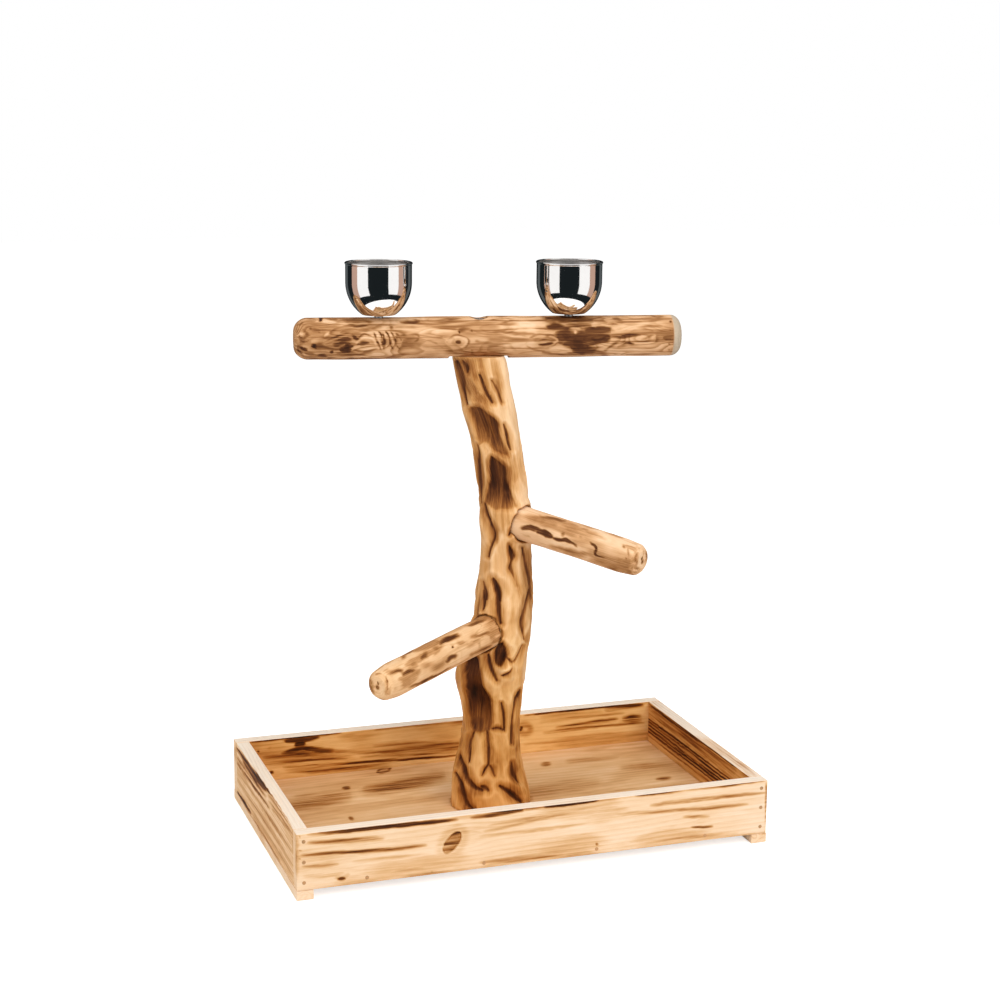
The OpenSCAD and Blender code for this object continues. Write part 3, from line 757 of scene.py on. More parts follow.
RIGHT_SCORCH = [
    (0.95, 2.6, 1.6, [(650, 705.6), (680, 727), (712, 749.6), (744, 771.6)]),
    (0.42, 8, 3, [(650, 711), (684, 735), (716, 759), (736, 773)]),
    (0.28, 15, 3, [(640, 720), (684, 753), (724, 784)]),
    (1, 1.3, 0.8, [(630, 705.1), (688, 748), (745, 790.6)]),
    (1, 1.3, 0.8, [(630, 708), (686, 750), (745, 794.2)]),
    (1, 1.3, 0.8, [(630, 711.1), (684, 752), (745, 798.1)]),
    (1, 1.3, 0.8, [(630, 714.3), (682, 753.6), (745, 801.3)]),
    (0.95, 1.2, 0.8, [(630, 717.7), (680, 755.4), (745, 804.5)]),
    (0.5, 1.2, 1.2, [(640, 729.5), (678, 758), (720, 790)]),
]
FLOOR_SCORCH = [
    (0.5, 1.6, 1.4, oval(384, 770, 6.4, 2, -16)), (0.25, 2, 2, [(381, 771), (387, 769)]),
    (0.75, 2.6, 1.8, [(341.6, 788.3), (350.8, 787.8)]), (0.5, 2.4, 1.8, [(348.6, 817), (353.6, 820)]),
    (0.6, 2.8, 2, [(540.6, 764.7), (551, 763.9)]), (0.5, 6, 9, [(362, 790), (404, 785), (446, 775)]),
    (0.3, 2.4, 5, [(404, 781), (420, 778.5), (440, 776)]),
    (0.44, 6, 9, [(284, 808), (316, 802), (352, 795)]), (0.3, 2.4, 5, [(294, 797), (320, 793), (352, 788)]),
    (0.24, 8, 9, [(500, 797), (540, 790), (600, 782)]),
    (0.3, 2, 3.4, [(566, 761.5), (592, 759.5), (620, 757)]),
    (0.26, 3, 6, [(620, 768), (650, 766), (676, 764)]), (0.5, 2.2, 2, [(656, 779.2), (671, 777.6)]),
    (0.2, 2, 4, [(470, 800), (500, 797)]), (0.5, 3, 4, [(452, 797), (456, 805), (470, 808)]),
    (0.4, 3, 5, [(524, 800), (533, 797)]),
]

X1, Y1, Z0, Z1 = TRAY_W / 2, TRAY_D / 2, RUNNER_H, RUNNER_H + BOARD_H
INSIDE = Y1 - BOARD_T
# Set-backs of the boards' outer faces, of their joints, of the floor's rim and of its top
SHY, GAP, FLOOR_GAP, FLOOR_LOW = 0.1, 0.05, 0.2, 0.02
LONG = dict(axis=0, step=1.15)
SHORT = dict(axis=1, step=0.8, streaks=0.12, spacing=3.6)
# shade is painted shade on a face, and the warm tint of the faces inside the tray is painted warm light
board("front_board", "tray_front_board", (-X1 + SHY, -Y1 + SHY, Z0 + GAP),
      (X1 - SHY, -Y1 + BOARD_T, Z1 - GAP), seed=1, marks=[(1, -1, FRONT_SCORCH)],
      knots={(1, -1): [(-77, 41, -7.0), (170, 30, -2.4)], (1, 1): [(120, 44, 4.5), (-150, 30, 3.2)]},
      spacing=5.2, licks=0.13, edges=0.2, shade=[(1, -1, 0.02)], lean=-0.035, **LONG)
board("back_board", "tray_back_board", (-X1 + SHY, Y1 - BOARD_T, Z0 + GAP),
      (X1 - SHY, Y1 - SHY, Z1 - GAP), seed=2, marks=[(1, -1, BACK_SCORCH)],
      knots={(1, -1): [(35, 50, -4.6), (-200, 27, -3.0), (-150, 46, -5.0)],
             (1, 1): [(-60, 40, 5.6), (140, 24, 3.4), (-190, 52, 2.2)]},
      spacing=4.6, shade=[(1, -1, 0.09)], painted_warm_light=[(1, -1, 0.95)], lean=-0.03, **LONG)
board("left_board", "tray_left_board", (-X1 + SHY, -INSIDE + GAP, Z0 + GAP),
      (-X1 + BOARD_T, INSIDE - GAP, Z1 - GAP), seed=3,
      marks=[(0, -1, LEFT_SCORCH), (2, 1, LEFT_TOP_SCORCH)], knots={(0, 1): [(50, 40, 4.0)]},
      shade=[(0, -1, 0.08), (0, 1, 0.08)], painted_warm_light=[(0, -1, 0.1), (0, 1, 0.5)], **SHORT)
board("right_board", "tray_right_board", (X1 - BOARD_T, -INSIDE + GAP, Z0 + GAP),
      (X1 - SHY, INSIDE - GAP, Z1 - GAP), seed=4, marks=[(0, -1, RIGHT_SCORCH)],
      knots={(0, 1): [(-40, 36, 4.4), (70, 50, 2.2)]},
      shade=[(0, -1, 0.22)], painted_warm_light=[(0, -1, 0.9)], **SHORT)
board("floor_board", "tray_floor", (-X1 + BOARD_T + FLOOR_GAP, -INSIDE + FLOOR_GAP, RUNNER_H + GAP),
      (X1 - BOARD_T - FLOOR_GAP, INSIDE - FLOOR_GAP, FLOOR_TOP - FLOOR_LOW), axis=0, step=1.6, seed=5,
      marks=[(2, 1, FLOOR_SCORCH)], slot="floor_wood",
      knots={(2, 1): [(-110, 52, -3.4), (-150, 4, -2.2), (78, 36, -3.0), (30, 100, 2.0)],
             (2, -1): [(-120, 30, 6.0), (90, -60, 4.0)]},
      spacing=9.0, edges=0.2, drift=16.0, rounding=0.6, licks=0.14, shade=[(2, 1, 0.15), (2, -1, 0.1)],
      painted_warm_light=[(2, 1, 0.12)])

ARRIS, SHARP_FROM = 0.0006, math.radians(50)
for node in ("runner_left", "runner_right"):
    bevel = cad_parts[node].modifiers.new("arris", "BEVEL")
    bevel.width, bevel.segments = ARRIS, 3
    bevel.limit_method, bevel.angle_limit = "ANGLE", SHARP_FROM


# Trunk
# Lookup of the trunk: [share of its height, lean, girth], with lean and girth as shares of TRUNK_D
TRUNK_SHAPE = np.array([[0, -0.08, 0.79], [0.065, -0.12, 0.72], [0.185, -0.06, 0.57], [0.305, -0.08, 0.66],
                        [0.4, 0.14, 0.61], [0.49, 0.2, 0.57], [0.585, 0.21, 0.51], [0.695, 0.15, 0.49],
                        [0.8, 0, 0.5], [0.9, -0.2, 0.49], [1, -0.41, 0.51]])
# Broad hollows: (share of its height, way in degrees, half height, half width in degrees, depth)
TRUNK_HOLLOWS = [(0.838, -124, 0.061, 40, 0.14), (0.72, -106, 0.065, 42, 0.14),
                 (0.237, -134, 0.091, 34, 0.18), (0.31, -84, 0.035, 24, -0.08), (0.53, 70, 0.1, 40, 0.1),
                 (0.15, 20, 0.087, 36, 0.1), (0.6, 160, 0.074, 36, 0.04), (0.36, 140, 0.052, 26, -0.06),
                 (0.29, 165, 0.06, 50, -0.09), (0.02, -20, 0.1, 44, -0.09)]
# Columns of the lookup, and how far its corners are eased, in millimetres
LEAN, GIRTH, EASE = 1, 2, 9


def trunk_at(height, column):
    """The lean or the girth at a height, straight from the lookup."""
    return np.interp(height, TRUNK_SHAPE[:, 0] * TRUNK_H, TRUNK_SHAPE[:, column] * TRUNK_D)


def trunk_line(height, column):
    """The lean or the girth, eased a little at the corners of the lookup."""
    steps = ((-EASE, 0.25), (0, 0.5), (EASE, 0.25))
    return sum(share * trunk_at(np.clip(height + off, 0, TRUNK_H), column) for off, share in steps)


def turned_off(angle, way):
    """Degrees from the way to some angles, from -180 to 180."""
    return (angle - way + 540) % 360 - 180


def trunk_skin(height, angle):
    """Radius of the trunk at a height, in the direction of an angle in degrees."""
    radius = trunk_line(height, GIRTH)
    radius = radius + TRUNK_D * 0.014 * np.sin(np.radians(5 * angle + 320 * height / TRUNK_H))
    low = np.maximum(0, 1 - height / (TRUNK_H * 0.15))
    radius = radius + TRUNK_D * 0.044 * low * np.sin(np.radians(4 * angle + 30))
    for share, way, high, wide, deep in TRUNK_HOLLOWS:
        off = np.hypot((height / TRUNK_H - share) / high, np.abs(turned_off(angle, way)) / wide)
        sunk = np.where(off < 1, (1 + np.cos(np.pi * np.minimum(off, 1))) / 2, 0)
        radius = radius - deep * TRUNK_D * sunk
    return radius


# Furrows and hollows seen from the front, on an upright sheet through the origin, square to the camera
FURROWS = [
    # (width, [(sideways, height)])
    (5.1, [(-36.7, 472.5), (-32.7, 467.9), (-31.6, 463.2)]),
    (3.6, [(-42.1, 473.3), (-35.8, 454.4), (-30.1, 430.8)]),
    (3.7, [(-18.6, 458.6), (-12.3, 446.8), (-8, 438.9), (-5.4, 433.4)]),
    (2.2, [(-4.5, 454.8), (0.2, 445.4), (4.3, 432.7)]), (2.4, [(6.4, 411.3), (10.9, 399.4), (15.5, 385.9)]),
    (3.1, [(-21.2, 389.5), (-18.7, 367), (-17.7, 347.7), (-16.5, 331.6)]),
    (2.7, [(-12.8, 330.8), (-10.3, 318.7), (-3.6, 307.3), (-2.5, 297.6), (-6.6, 287.7), (-9.6, 276.2)]),
    (3.3, [(27.3, 286.5), (30.2, 271.8), (32.5, 260.3), (34.7, 247.1), (36.8, 232.6)]),
    (6.1, [(-4.2, 253.3), (0.7, 243.5), (3.2, 232.3)]),
    (2.6, [(-12.9, 251.6), (-10.4, 240), (-9.6, 232.1)]),
    (2.4, [(23.1, 309.3), (16.8, 304.3), (13.7, 299.4)]), (4.6, [(0.4, 242.7), (2.4, 228.4), (5.7, 208.5)]),
    (2.6, [(-12.6, 242.5), (-11.5, 231.4), (-11.7, 221.9)]),
    (3.1, [(34.4, 243), (30.1, 220.8), (27.2, 208), (29, 192)]),
    (6.1, [(4.1, 182.9), (6, 175.7), (4.2, 167.6)]), (4.1, [(-7.9, 175.5), (-4.7, 162.7), (2.6, 148.2)]),
    (2.7, [(7.5, 153.2), (14.4, 155.7), (16.7, 159.7)]), (2, [(11.9, 172.5), (18.9, 167), (27.2, 185.6)]),
    (2.7, [(26.6, 138), (22.5, 125.8), (19.7, 106.2), (18.9, 81.7)]),
    (3.1, [(18.6, 61.2), (20.8, 50.5), (25.6, 40.6)]), (2.7, [(7.8, 124.8), (9.8, 114.3), (10.9, 95.5)]),
    (2.2, [(-2.8, 95.8), (4.2, 96.6), (11.2, 95)]), (2.7, [(-8.2, 93.7), (-6.5, 76.5), (-5.9, 59.2)]),
    (2, [(-5.9, 59.2), (-8.7, 53.4), (-11.7, 46)]), (2, [(-5.9, 59.2), (-1.6, 53.5), (2.7, 44.5)]),
    (3.1, [(-20.7, 92.7), (-24.8, 79.6), (-25.9, 63.1)]),
    (4.7, [(-36.9, 71.2), (-31.8, 56.5), (-27.7, 41.7), (-20.2, 32.6), (-11.6, 29.4)]),
    (3.7, [(-41.5, 50.6), (-33.9, 37.9), (-29.1, 19.3), (-21.6, 11.1)]),
    (5.6, [(9.4, 33.4), (17.7, 29.4), (23.8, 24.6), (28.9, 20.3)]),
    (4.6, [(-12.8, 33.2), (-8.1, 32.3), (-4.5, 29.5)]),
]
HOLLOWS = [
    # (shade, depth, way that it fades out, how far it fades, outline)
    (0.86, 5, (-0.6, -0.8), 0.75, [(-28.9, 426.8), (-19.2, 428.5), (-7.8, 421.8), (1, 414), (4, 402.5),
        (13, 382.6), (9.3, 379.5), (-3, 383.3), (-11.8, 391.2), (-19.6, 389.5), (-21.8, 408.6)]),
    (1, 4.6, (0.1, -1), 0.86, [(-8, 378.7), (1.8, 375.3), (10, 368.2), (11.4, 354.5), (15.1, 341.6),
        (20.9, 329.5), (16.5, 326.7), (6.5, 326), (-2.6, 325), (-11.2, 329.2), (-13.6, 332.4),
        (-11, 342.1), (-7.8, 357.5)]),
    (0.9, 3.4, (0, -1), 0.2, [(13.8, 289.9), (21.5, 278.2), (17.5, 268.3), (22.5, 248.7), (17.3, 256.8),
        (11.5, 265), (14, 273.2), (12.6, 283)]),
    (0.9, 5.4, (0.1, -1), 0.45, [(-32.4, 164.8), (-19, 173), (-13.9, 152.9), (-10.7, 138.4), (-2.8, 127.1),
        (-3.4, 97.8), (-9.8, 92.5), (-19.9, 92.4), (-27.5, 108.1), (-29.5, 130.1), (-31.2, 146.3)]),
    (1, 4.8, (0, -1), 0, [(-0.6, 181.3), (9, 187.2), (12.6, 176.5), (12, 170.5), (7.4, 162.4), (0.2, 165)]),
]
# The knob on that sheet, its radius and its height, and the sheet's normal
KNOB, KNOB_R, KNOB_H = [(9.6, 160.4), (12.0, 160.6)], 4.6, 4.4
SHEET = np.array([math.sin(AZIMUTH), math.cos(AZIMUTH), 0.0])

# Height, direction in degrees and smooth radius of every point of the trunk's skin
heights = np.linspace(0, TRUNK_H, TRUNK_RINGS)
angles = np.arange(TRUNK_SIDES) * 360.0 / TRUNK_SIDES
HEIGHT, ANGLE = [grid.ravel() for grid in np.meshgrid(heights, angles, indexing="ij")]
RADIUS = trunk_skin(HEIGHT, ANGLE)
outward = np.stack([np.cos(np.radians(ANGLE)), np.sin(np.radians(ANGLE)), np.zeros_like(ANGLE)], 1)


def place_skin(raised, foot=0.0):
    """The trunk's points, for so much height over its smooth skin, with its foot lifted a little."""
    at = outward * (RADIUS + raised)[:, None]
    at[:, 0] += trunk_line(HEIGHT, LEAN)
    at[:, 2] = HEIGHT + FLOOR_TOP + foot * (HEIGHT < 1)
    return at


# Wood flows up the trunk and twists a little
twist = np.radians(ANGLE + 0.09 * HEIGHT)
cyl = np.stack([np.cos(twist) * 25, np.sin(twist) * 25, HEIGHT], 1)
bend = 10 * wobble(cyl * 0.02, 60, 61, 62)
flowing = cyl + bend
swell = fbm(scaled(flowing, 0.045, 0.014), 63, 3)
ropes = ridged(scaled(flowing, 0.075, 0.016), 64, 2)
chips = ridged(scaled(flowing, 0.17, 0.05), 65, 2)
ragged = fbm(scaled(flowing, 0.3, 0.12), 66, 3)
ribs = 0.5 + 0.5 * noise(scaled(flowing, 0.22, 0.03), 69)
raised = 2.4 * swell + 2.0 * ropes + 0.5 * chips - 0.8

smooth_skin = place_skin(0 * HEIGHT)
ray = smooth_skin - EYE
on_sheet = EYE + ray * (-(EYE @ SHEET) / (ray @ SHEET))[:, None]
drawn_at = np.stack([on_sheet @ RIGHT, on_sheet[:, 2]], 1)
drawn_at = drawn_at + 1.8 * wobble(scaled(flowing, 0.08, 0.04), 67, 68)
turned_to = (outward * -SHEET).sum(1)
front = smooth(turned_to, 0.12, 0.3)
back = 1 - smooth(turned_to, -0.05, 0.2)


class Carving:
    """What furrows and hollows add up to, point by point: wood cut away, char, valleys and their lips."""

    def __init__(self):
        self.cut, self.dark, self.valley, self.lip = np.zeros((4, len(HEIGHT)))

    def deepen(self, here, **values):
        """Raises the amounts of the chosen points to these values, where those are higher."""
        for key, value in values.items():
            kept = getattr(self, key)
            kept[here] = np.maximum(kept[here], value)

    def furrow(self, here, at, line, width, taper, black, shown):
        """A furrow along a line. here chooses points of the skin, and at is where they lie beside it."""
        off, part = to_line(at, supple(line))
        half = width * (taper + (1 - taper) * np.sin(np.pi * np.clip(part, 0.04, 0.96)))
        off = np.maximum(off + 0.5 * ragged[here], 0)
        core = hill(off, 0.62 * half + 0.2) * shown[here]
        wide = hill(off, 1.7 * half + 1.2) * shown[here]
        self.deepen(here, cut=core * (0.3 * width + 0.4) + wide * (0.22 * width + 0.5),
                    dark=(black + 0.05 * width) * core, valley=wide,
                    lip=hill(off - 2.3 * half - 1, 0.6 * half + 0.8) * shown[here])

    def hollow(self, off, keep, deep, char, shown):
        """A hollow: off is how far in from its rim the points are, and keep is what fading leaves of it."""
        sunk = smooth(off, -0.8, 2.6) * shown
        self.deepen(EVERYWHERE, cut=deep * sunk * keep + 0.9 * sunk * ribs,
                    dark=char * smooth(off, -0.8, 2.2) * shown, valley=smooth(off, -5, 0) * shown * keep,
                    lip=hill(off + 2.6, 1.5) * shown * (0.3 + 0.7 * keep))


EVERYWHERE = slice(None)
carved = Carving()
for width, line in FURROWS:
    carved.furrow(EVERYWHERE, drawn_at, line, width, 0.45, 0.7, front)
for shade, deep, fade_way, fade, shape in HOLLOWS:
    off = inside(drawn_at, shape) + 0.9 * ragged
    pts = np.array(shape)
    size = (pts.max(0) - pts.min(0)).max() / 2
    down = np.clip(((drawn_at - pts.mean(0)) @ np.array(fade_way)) / size * 0.5 + 0.5, 0, 1)
    keep = 1 - fade * smooth(down, 0.35, 1.0)
    char = shade * (0.1 + 0.9 * keep) * (0.84 + 0.2 * ribs)
    carved.hollow(off, keep, deep * (0.8 + 0.2 * smooth(off, 2, 7)), char, front)

# Furrows and hollows of the same kind, at random places on the sides and the back
BACK_FURROWS, BACK_HOLLOWS = 46, 11
for _ in range(BACK_FURROWS):
    way = CAMERA_WAY + 70 + 220 * rng.random()
    low = 14 + 430 * rng.random()
    long = rng.choice([18, 30, 44, 60])
    width = rng.uniform(1.8, 4.6)
    drift = rng.uniform(-9, 9)
    arc = np.radians(turned_off(ANGLE, way)) * RADIUS
    steps = ((0, 0), (0.55, 0.33), (0.4, 0.66), (1, 1))
    line = [(aside * drift, low + up * long) for aside, up in steps]
    here = (np.abs(arc) < 30) & (HEIGHT > low - 10) & (HEIGHT < low + long + 10)
    at = np.stack([arc[here], HEIGHT[here]], 1) + 1.6 * wobble(flowing[here] * 0.06, 73, 74)
    carved.furrow(here, at, line, width, 0.4, 0.66, back)
for i in range(BACK_HOLLOWS):
    way = CAMERA_WAY + 80 + 200 * (i + rng.random()) / BACK_HOLLOWS
    middle = rng.choice([60, 120, 200, 270, 330, 390, 430]) + rng.uniform(-15, 15)
    tall, broad = rng.uniform(16, 34), rng.uniform(5, 9)
    arc = np.radians(turned_off(ANGLE, way)) * RADIUS + (HEIGHT - middle) * rng.uniform(-0.3, 0.3)
    arc = arc + 3.0 * noise(flowing * 0.06, 75 + i)
    off = (1 - np.hypot(arc / broad, (HEIGHT - middle) / tall)) * broad + 0.9 * ragged
    keep = 1 - 0.7 * smooth((middle - HEIGHT) / tall, -0.2, 0.9)
    char = 0.88 * (0.22 + 0.78 * keep) * (0.86 + 0.16 * ribs)
    carved.hollow(off, keep, 4.2, char, back)

crest = carved.lip * (1 - carved.valley)
knob = hill(to_line(drawn_at, KNOB)[0], KNOB_R) * front
raised = raised * (1 - 0.55 * carved.valley) - carved.cut + 0.7 * crest + KNOB_H * knob
fade = smooth(TRUNK_H - HEIGHT, 0, 4)
raised = raised * (0.35 + 0.65 * fade) - 0.5 * (1 - fade)

# Margins: round a branch's seat, between the seat and the trunk's skin, and below the trunk's foot
SEAT_OUT, SEAT_GAP, FOOT_LIFT = 0.3, 0.35, 0.05
for branch in BRANCHES.values():
    level, fall = math.radians(branch["turn"]), math.radians(branch["droop"])
    flat = math.cos(fall)
    branch["way"] = np.array([math.cos(level) * flat, math.sin(level) * flat, -math.sin(fall)])
    branch["origin"] = np.array([trunk_at(branch["height"], LEAN), 0.0, branch["height"] + FLOOR_TOP])
    seat = branch["thick"] / 2 + SEAT_OUT
    branch["root"] = math.sqrt(trunk_at(branch["height"], GIRTH) ** 2 - seat**2) - 1 + SEAT_OUT


def round_branch(skin, branch):
    """How far along the branch and how far off its middle line each point of the skin is."""
    rel = skin - branch["origin"]
    along = rel @ branch["way"]
    return along, np.linalg.norm(rel - along[:, None] * branch["way"], axis=1)


# The trunk swells into an uneven collar round each branch's root, then the seat is cut flat
COLLAR_OUT, COLLAR_WIDE, COLLAR_H = 3.2, 3.4, 3.0
skin = place_skin(raised, FOOT_LIFT)
lumpy = np.clip(0.5 + 0.9 * noise(flowing * 0.09, 70), 0.0, 1.2)
for branch in BRANCHES.values():
    along, off = round_branch(skin, branch)
    raised += COLLAR_H * hill(off - branch["thick"] / 2 - COLLAR_OUT, COLLAR_WIDE) * (along > 0) * lumpy
skin = place_skin(raised, FOOT_LIFT)
seat_shade = np.zeros(len(skin))
for branch in BRANCHES.values():
    along, off = round_branch(skin, branch)
    here = (off < branch["thick"] / 2 + 1.0) & (along > branch["root"] - SEAT_GAP)
    skin[here] -= (along[here] - branch["root"] + SEAT_GAP)[:, None] * branch["way"]
    # Painted shade: a dark ring on the skin round the seat
    rim_shade = 1 - smooth(np.abs(off - branch["thick"] / 2 - 0.8), 0.4, 2.6)
    seat_shade = np.maximum(seat_shade, np.where(along > 0, rim_shade, 0))

# Rings drawn in to the middle close both ends, and a fan closes the last ring
CAP_RINGS = np.linspace(0.985, 0.0, 26)[:-1]
points, quads, tris = [skin], [grid_faces(TRUNK_RINGS, TRUNK_SIDES, True)], []
turn = np.arange(TRUNK_SIDES)
count = len(skin)
for first, z, order in ((0, FLOOR_TOP + FOOT_LIFT, -1), (count - TRUNK_SIDES, FLOOR_TOP + TRUNK_H, 1)):
    rim = skin[first:first + TRUNK_SIDES]
    centre = np.array([rim[:, 0].mean(), rim[:, 1].mean(), z])
    before = first + turn
    for share in CAP_RINGS:
        ring = centre + (rim - centre) * share
        ring[:, 2] = z
        points.append(ring)
        now = count + turn
        quads.append(np.stack([before, np.roll(before, -1), np.roll(now, -1), now], 1)[:, ::order])
        before = now
        count += TRUNK_SIDES
    points.append(centre[None])
    tris.append(np.stack([before, np.roll(before, -1), np.full(TRUNK_SIDES, count)], 1)[:, ::order])
    count += 1

# Char gathers in the cuts. Painted shade with char darkens the valleys round them and the low places of
# the relief, painted shade rings the branches' seats, the foot is darker, and the ridges are rubbed pale
streaky = fbm(scaled(flowing, 0.16, 0.02), 76, 3)
scorch = np.maximum(carved.dark * (0.92 + 0.5 * streaky), 0.31 * carved.valley * (0.8 + 0.9 * streaky))
scorch = np.maximum(scorch, 0.36 * smooth(-(swell * 0.8 + ropes * 0.5), 0.05, 0.6))
scorch += 0.22 * smooth(fbm(scaled(flowing, 0.07, 0.02), 71, 4), 0.0, 0.4) * (1 - carved.dark)
scorch = np.maximum(scorch, 0.6 * seat_shade * (0.7 + 0.9 * ragged))
scorch += 0.1 * (1 - smooth(HEIGHT, 0, 10))
low_down = 1 - smooth(HEIGHT, 90, 260)
tone = 0.11 + 0.05 * low_down + 0.07 * fbm(flowing * 0.03, 72, 3)
tone -= 0.12 * smooth(ropes + 0.6 * swell, 0.2, 0.8)
# Painted light: the side of the trunk towards +X is lighter, and the side towards -X darker
tone -= 0.09 * smooth(outward @ np.array([0.95, -0.3, 0.0]), 0.1, 0.9)
tone += 0.08 * smooth(outward @ np.array([-0.9, 0.3, 0.0]), 0.1, 0.9)
# Painted highlight: the lips of the cuts, which are also worn, and the knob are paler
tone -= 0.13 * crest + 0.16 * knob
caps = np.concatenate(points[1:])
cap_middle = np.where(caps[:, 2] > TRUNK_H / 2, PERCH_AT[0], TRUNK_SHAPE[0, LEAN] * TRUNK_D)
cap_r = np.hypot(caps[:, 0] - cap_middle, caps[:, 1])
flow = np.stack([HEIGHT, cyl[:, 0] + bend[:, 0] * 0.5, cyl[:, 1] + bend[:, 1] * 0.5], 1)
facts = {
    "flow": np.concatenate([flow, caps[:, [2, 0, 1]] * (8, 1, 1)]),
    "ring": np.concatenate([(trunk_line(HEIGHT, GIRTH) + 1.5 * swell) / 3.0, cap_r / 2.4]),
    "burn": np.clip(np.concatenate([scorch, 0.12 + 0.2 * smooth(cap_r, 18, 26)]), 0, 1.1),
    "tone": np.concatenate([tone, np.full(len(caps), 0.02)]),
    "warm": np.concatenate([0.15 + 0.6 * low_down, np.zeros(len(caps))]),
}
trunk = build("trunk_limb", np.concatenate(points), facts, np.concatenate(quads), np.concatenate(tris))
dress(trunk, "stand", "trunk_wood", "trunk")


# Rods
def bow(x, z, radius, start, end, count):
    """Points of an arc round (x, z), without its first."""
    turns = np.linspace(start, end, count)[1:]
    return [(x + radius * math.sin(turn), z - radius * math.cos(turn)) for turn in turns]


def close_ends(points, quads, sides):
    """Rings of no radius at both ends become one point each, and the quads on them become triangles."""
    keep = np.arange(len(points))
    keep[:sides] = 0
    keep[-sides:] = len(points) - sides
    quads = keep[quads]
    low, high = quads[:, 0] == quads[:, 1], quads[:, 2] == quads[:, 3]
    tris = np.concatenate([quads[low][:, [0, 2, 3]], quads[high][:, :3]])
    quads = quads[~(low | high)]
    used = np.unique(np.concatenate([quads.ravel(), tris.ravel()]))
    order = np.full(len(points), -1)
    order[used] = np.arange(len(used))
    return points[used], order[quads], order[tris]


def rod(length, radius, low, high, sides, bore=None, step=1.1):
    """A rod that stands on end, with rounded ends. bore is the radius and depth of a hole in its foot."""
    profile = [(0.0, 0.0)]
    if bore:
        profile = [(0.0, bore[1]), bore, (bore[0], 0.2), (bore[0] + 0.15, 0.0)]
    profile += [(x, 0.0) for x in np.linspace(profile[-1][0], radius - low, 9)[1:]]
    profile += bow(radius - low, low, low, 0, math.pi / 2, 12)
    count = max(3, int((length - low - high) / step))
    profile += [(radius, z) for z in np.linspace(low, length - high, count)[1:]]
    profile += bow(radius - high, length - high, high, math.pi / 2, math.pi, 14)
    profile += [(x, length) for x in np.linspace(radius - high, 0.0, 10)[1:]]
    return close_ends(*lathe(profile, sides), sides)


def lying(way):
    """Turns rod points, which stand along Z, so that Z lies along way."""
    z = way / np.linalg.norm(way)
    x = np.array([0, 0, 1.0])
    x = x - (x @ z) * z
    x /= np.linalg.norm(x)
    return np.stack([x, np.cross(z, x), z])


# Marks of the branches, as the photographer's camera sees them
BRANCH_MARKS = {
    "left": [
        (0.72, 3.2, 3, [(439, 644), (449, 638.5), (460, 635)]),
        (0.9, 1.6, 1.3, [(451.5, 647), (453.6, 646.6)]),
        (0.66, 2.4, 2.4, [(446, 662.5), (452, 657.5), (458, 655)]),
        (0.56, 3.4, 3.4, [(421, 660), (424, 656), (428, 652)]),
        (0.64, 3, 3, [(403, 676.5), (409, 671.5), (416, 669.5)]),
        (0.58, 2.4, 2.6, [(390, 672.5), (397, 670), (404, 671)]), (0.4, 2.4, 3, [(401, 659.5), (406, 654)]),
        (0.5, 1.2, 1.4, [(401, 655), (408, 652), (415, 649.6)]),
        (0.55, 1.4, 1.8, [(408, 688.5), (430, 679), (452, 667.5)]),
        (0.6, 1.6, 2, [(463, 626), (476, 622), (488, 619)]), (0.4, 3, 5, [(432, 650), (440, 646)]),
        (0.36, 4, 5, [(410, 664), (418, 662)]), (0.5, 1.6, 2.6, [(470, 656), (482, 650), (492, 645)]),
        (0.4, 2, 3, [(470, 638), (484, 634), (494, 632)]), (0.85, 1.9, 1.5, [(377.6, 684), (379, 683.6)]),
        (0.42, 2, 2.4, [(369, 680), (371, 688), (375, 694)]),
        (0.35, 1.1, 1.4, [(384.4, 675), (387, 684), (386, 693)]), (0.4, 1.6, 2.4, [(374, 674), (380, 672)]),
    ],
    "right": [
        (0.55, 2.4, 2.6, [(538, 516), (552, 518), (568, 522)]),
        (0.88, 4, 2.4, [(520, 529), (530, 527.5), (541, 530)]),
        (0.98, 5, 2.2, [(536, 529.5), (544, 533), (552, 538)]),
        (0.9, 2.6, 1.8, [(551, 538), (560, 540), (566, 540), (577, 547)]),
        (0.8, 2, 1.6, [(589.4, 541.6), (595, 548), (596, 555), (606, 558.6)]),
        (0.42, 3, 3, [(561, 532), (565, 534)]), (0.3, 2.4, 3, [(578, 535), (583, 537)]),
        (0.42, 1.8, 1.8, [(623.4, 545.7)]), (0.42, 1.8, 1.8, [(625.4, 558.4)]),
        (0.42, 2.4, 3.4, [(549, 546), (568, 551), (588, 556.5)]),
        (0.3, 1.2, 1.6, [(627, 545), (628, 555), (626.4, 564)]),
        (0.32, 2, 3, [(566, 526), (584, 530), (604, 538)]), (0.3, 3, 4, [(606, 560), (616, 563)]),
        (0.9, 2.4, 1.8, [(641, 558), (642.6, 559)]),
        (0.5, 1.2, 1.5, [(646.4, 551), (647.6, 557), (646.6, 562)]),
        (0.4, 2, 2.4, [(634, 568), (640, 569)]),
    ],
}
ROOT_ROUND, TIP_ROUND, BRANCH_BORE = 2.0, 7.0, (4.05, 31.75)


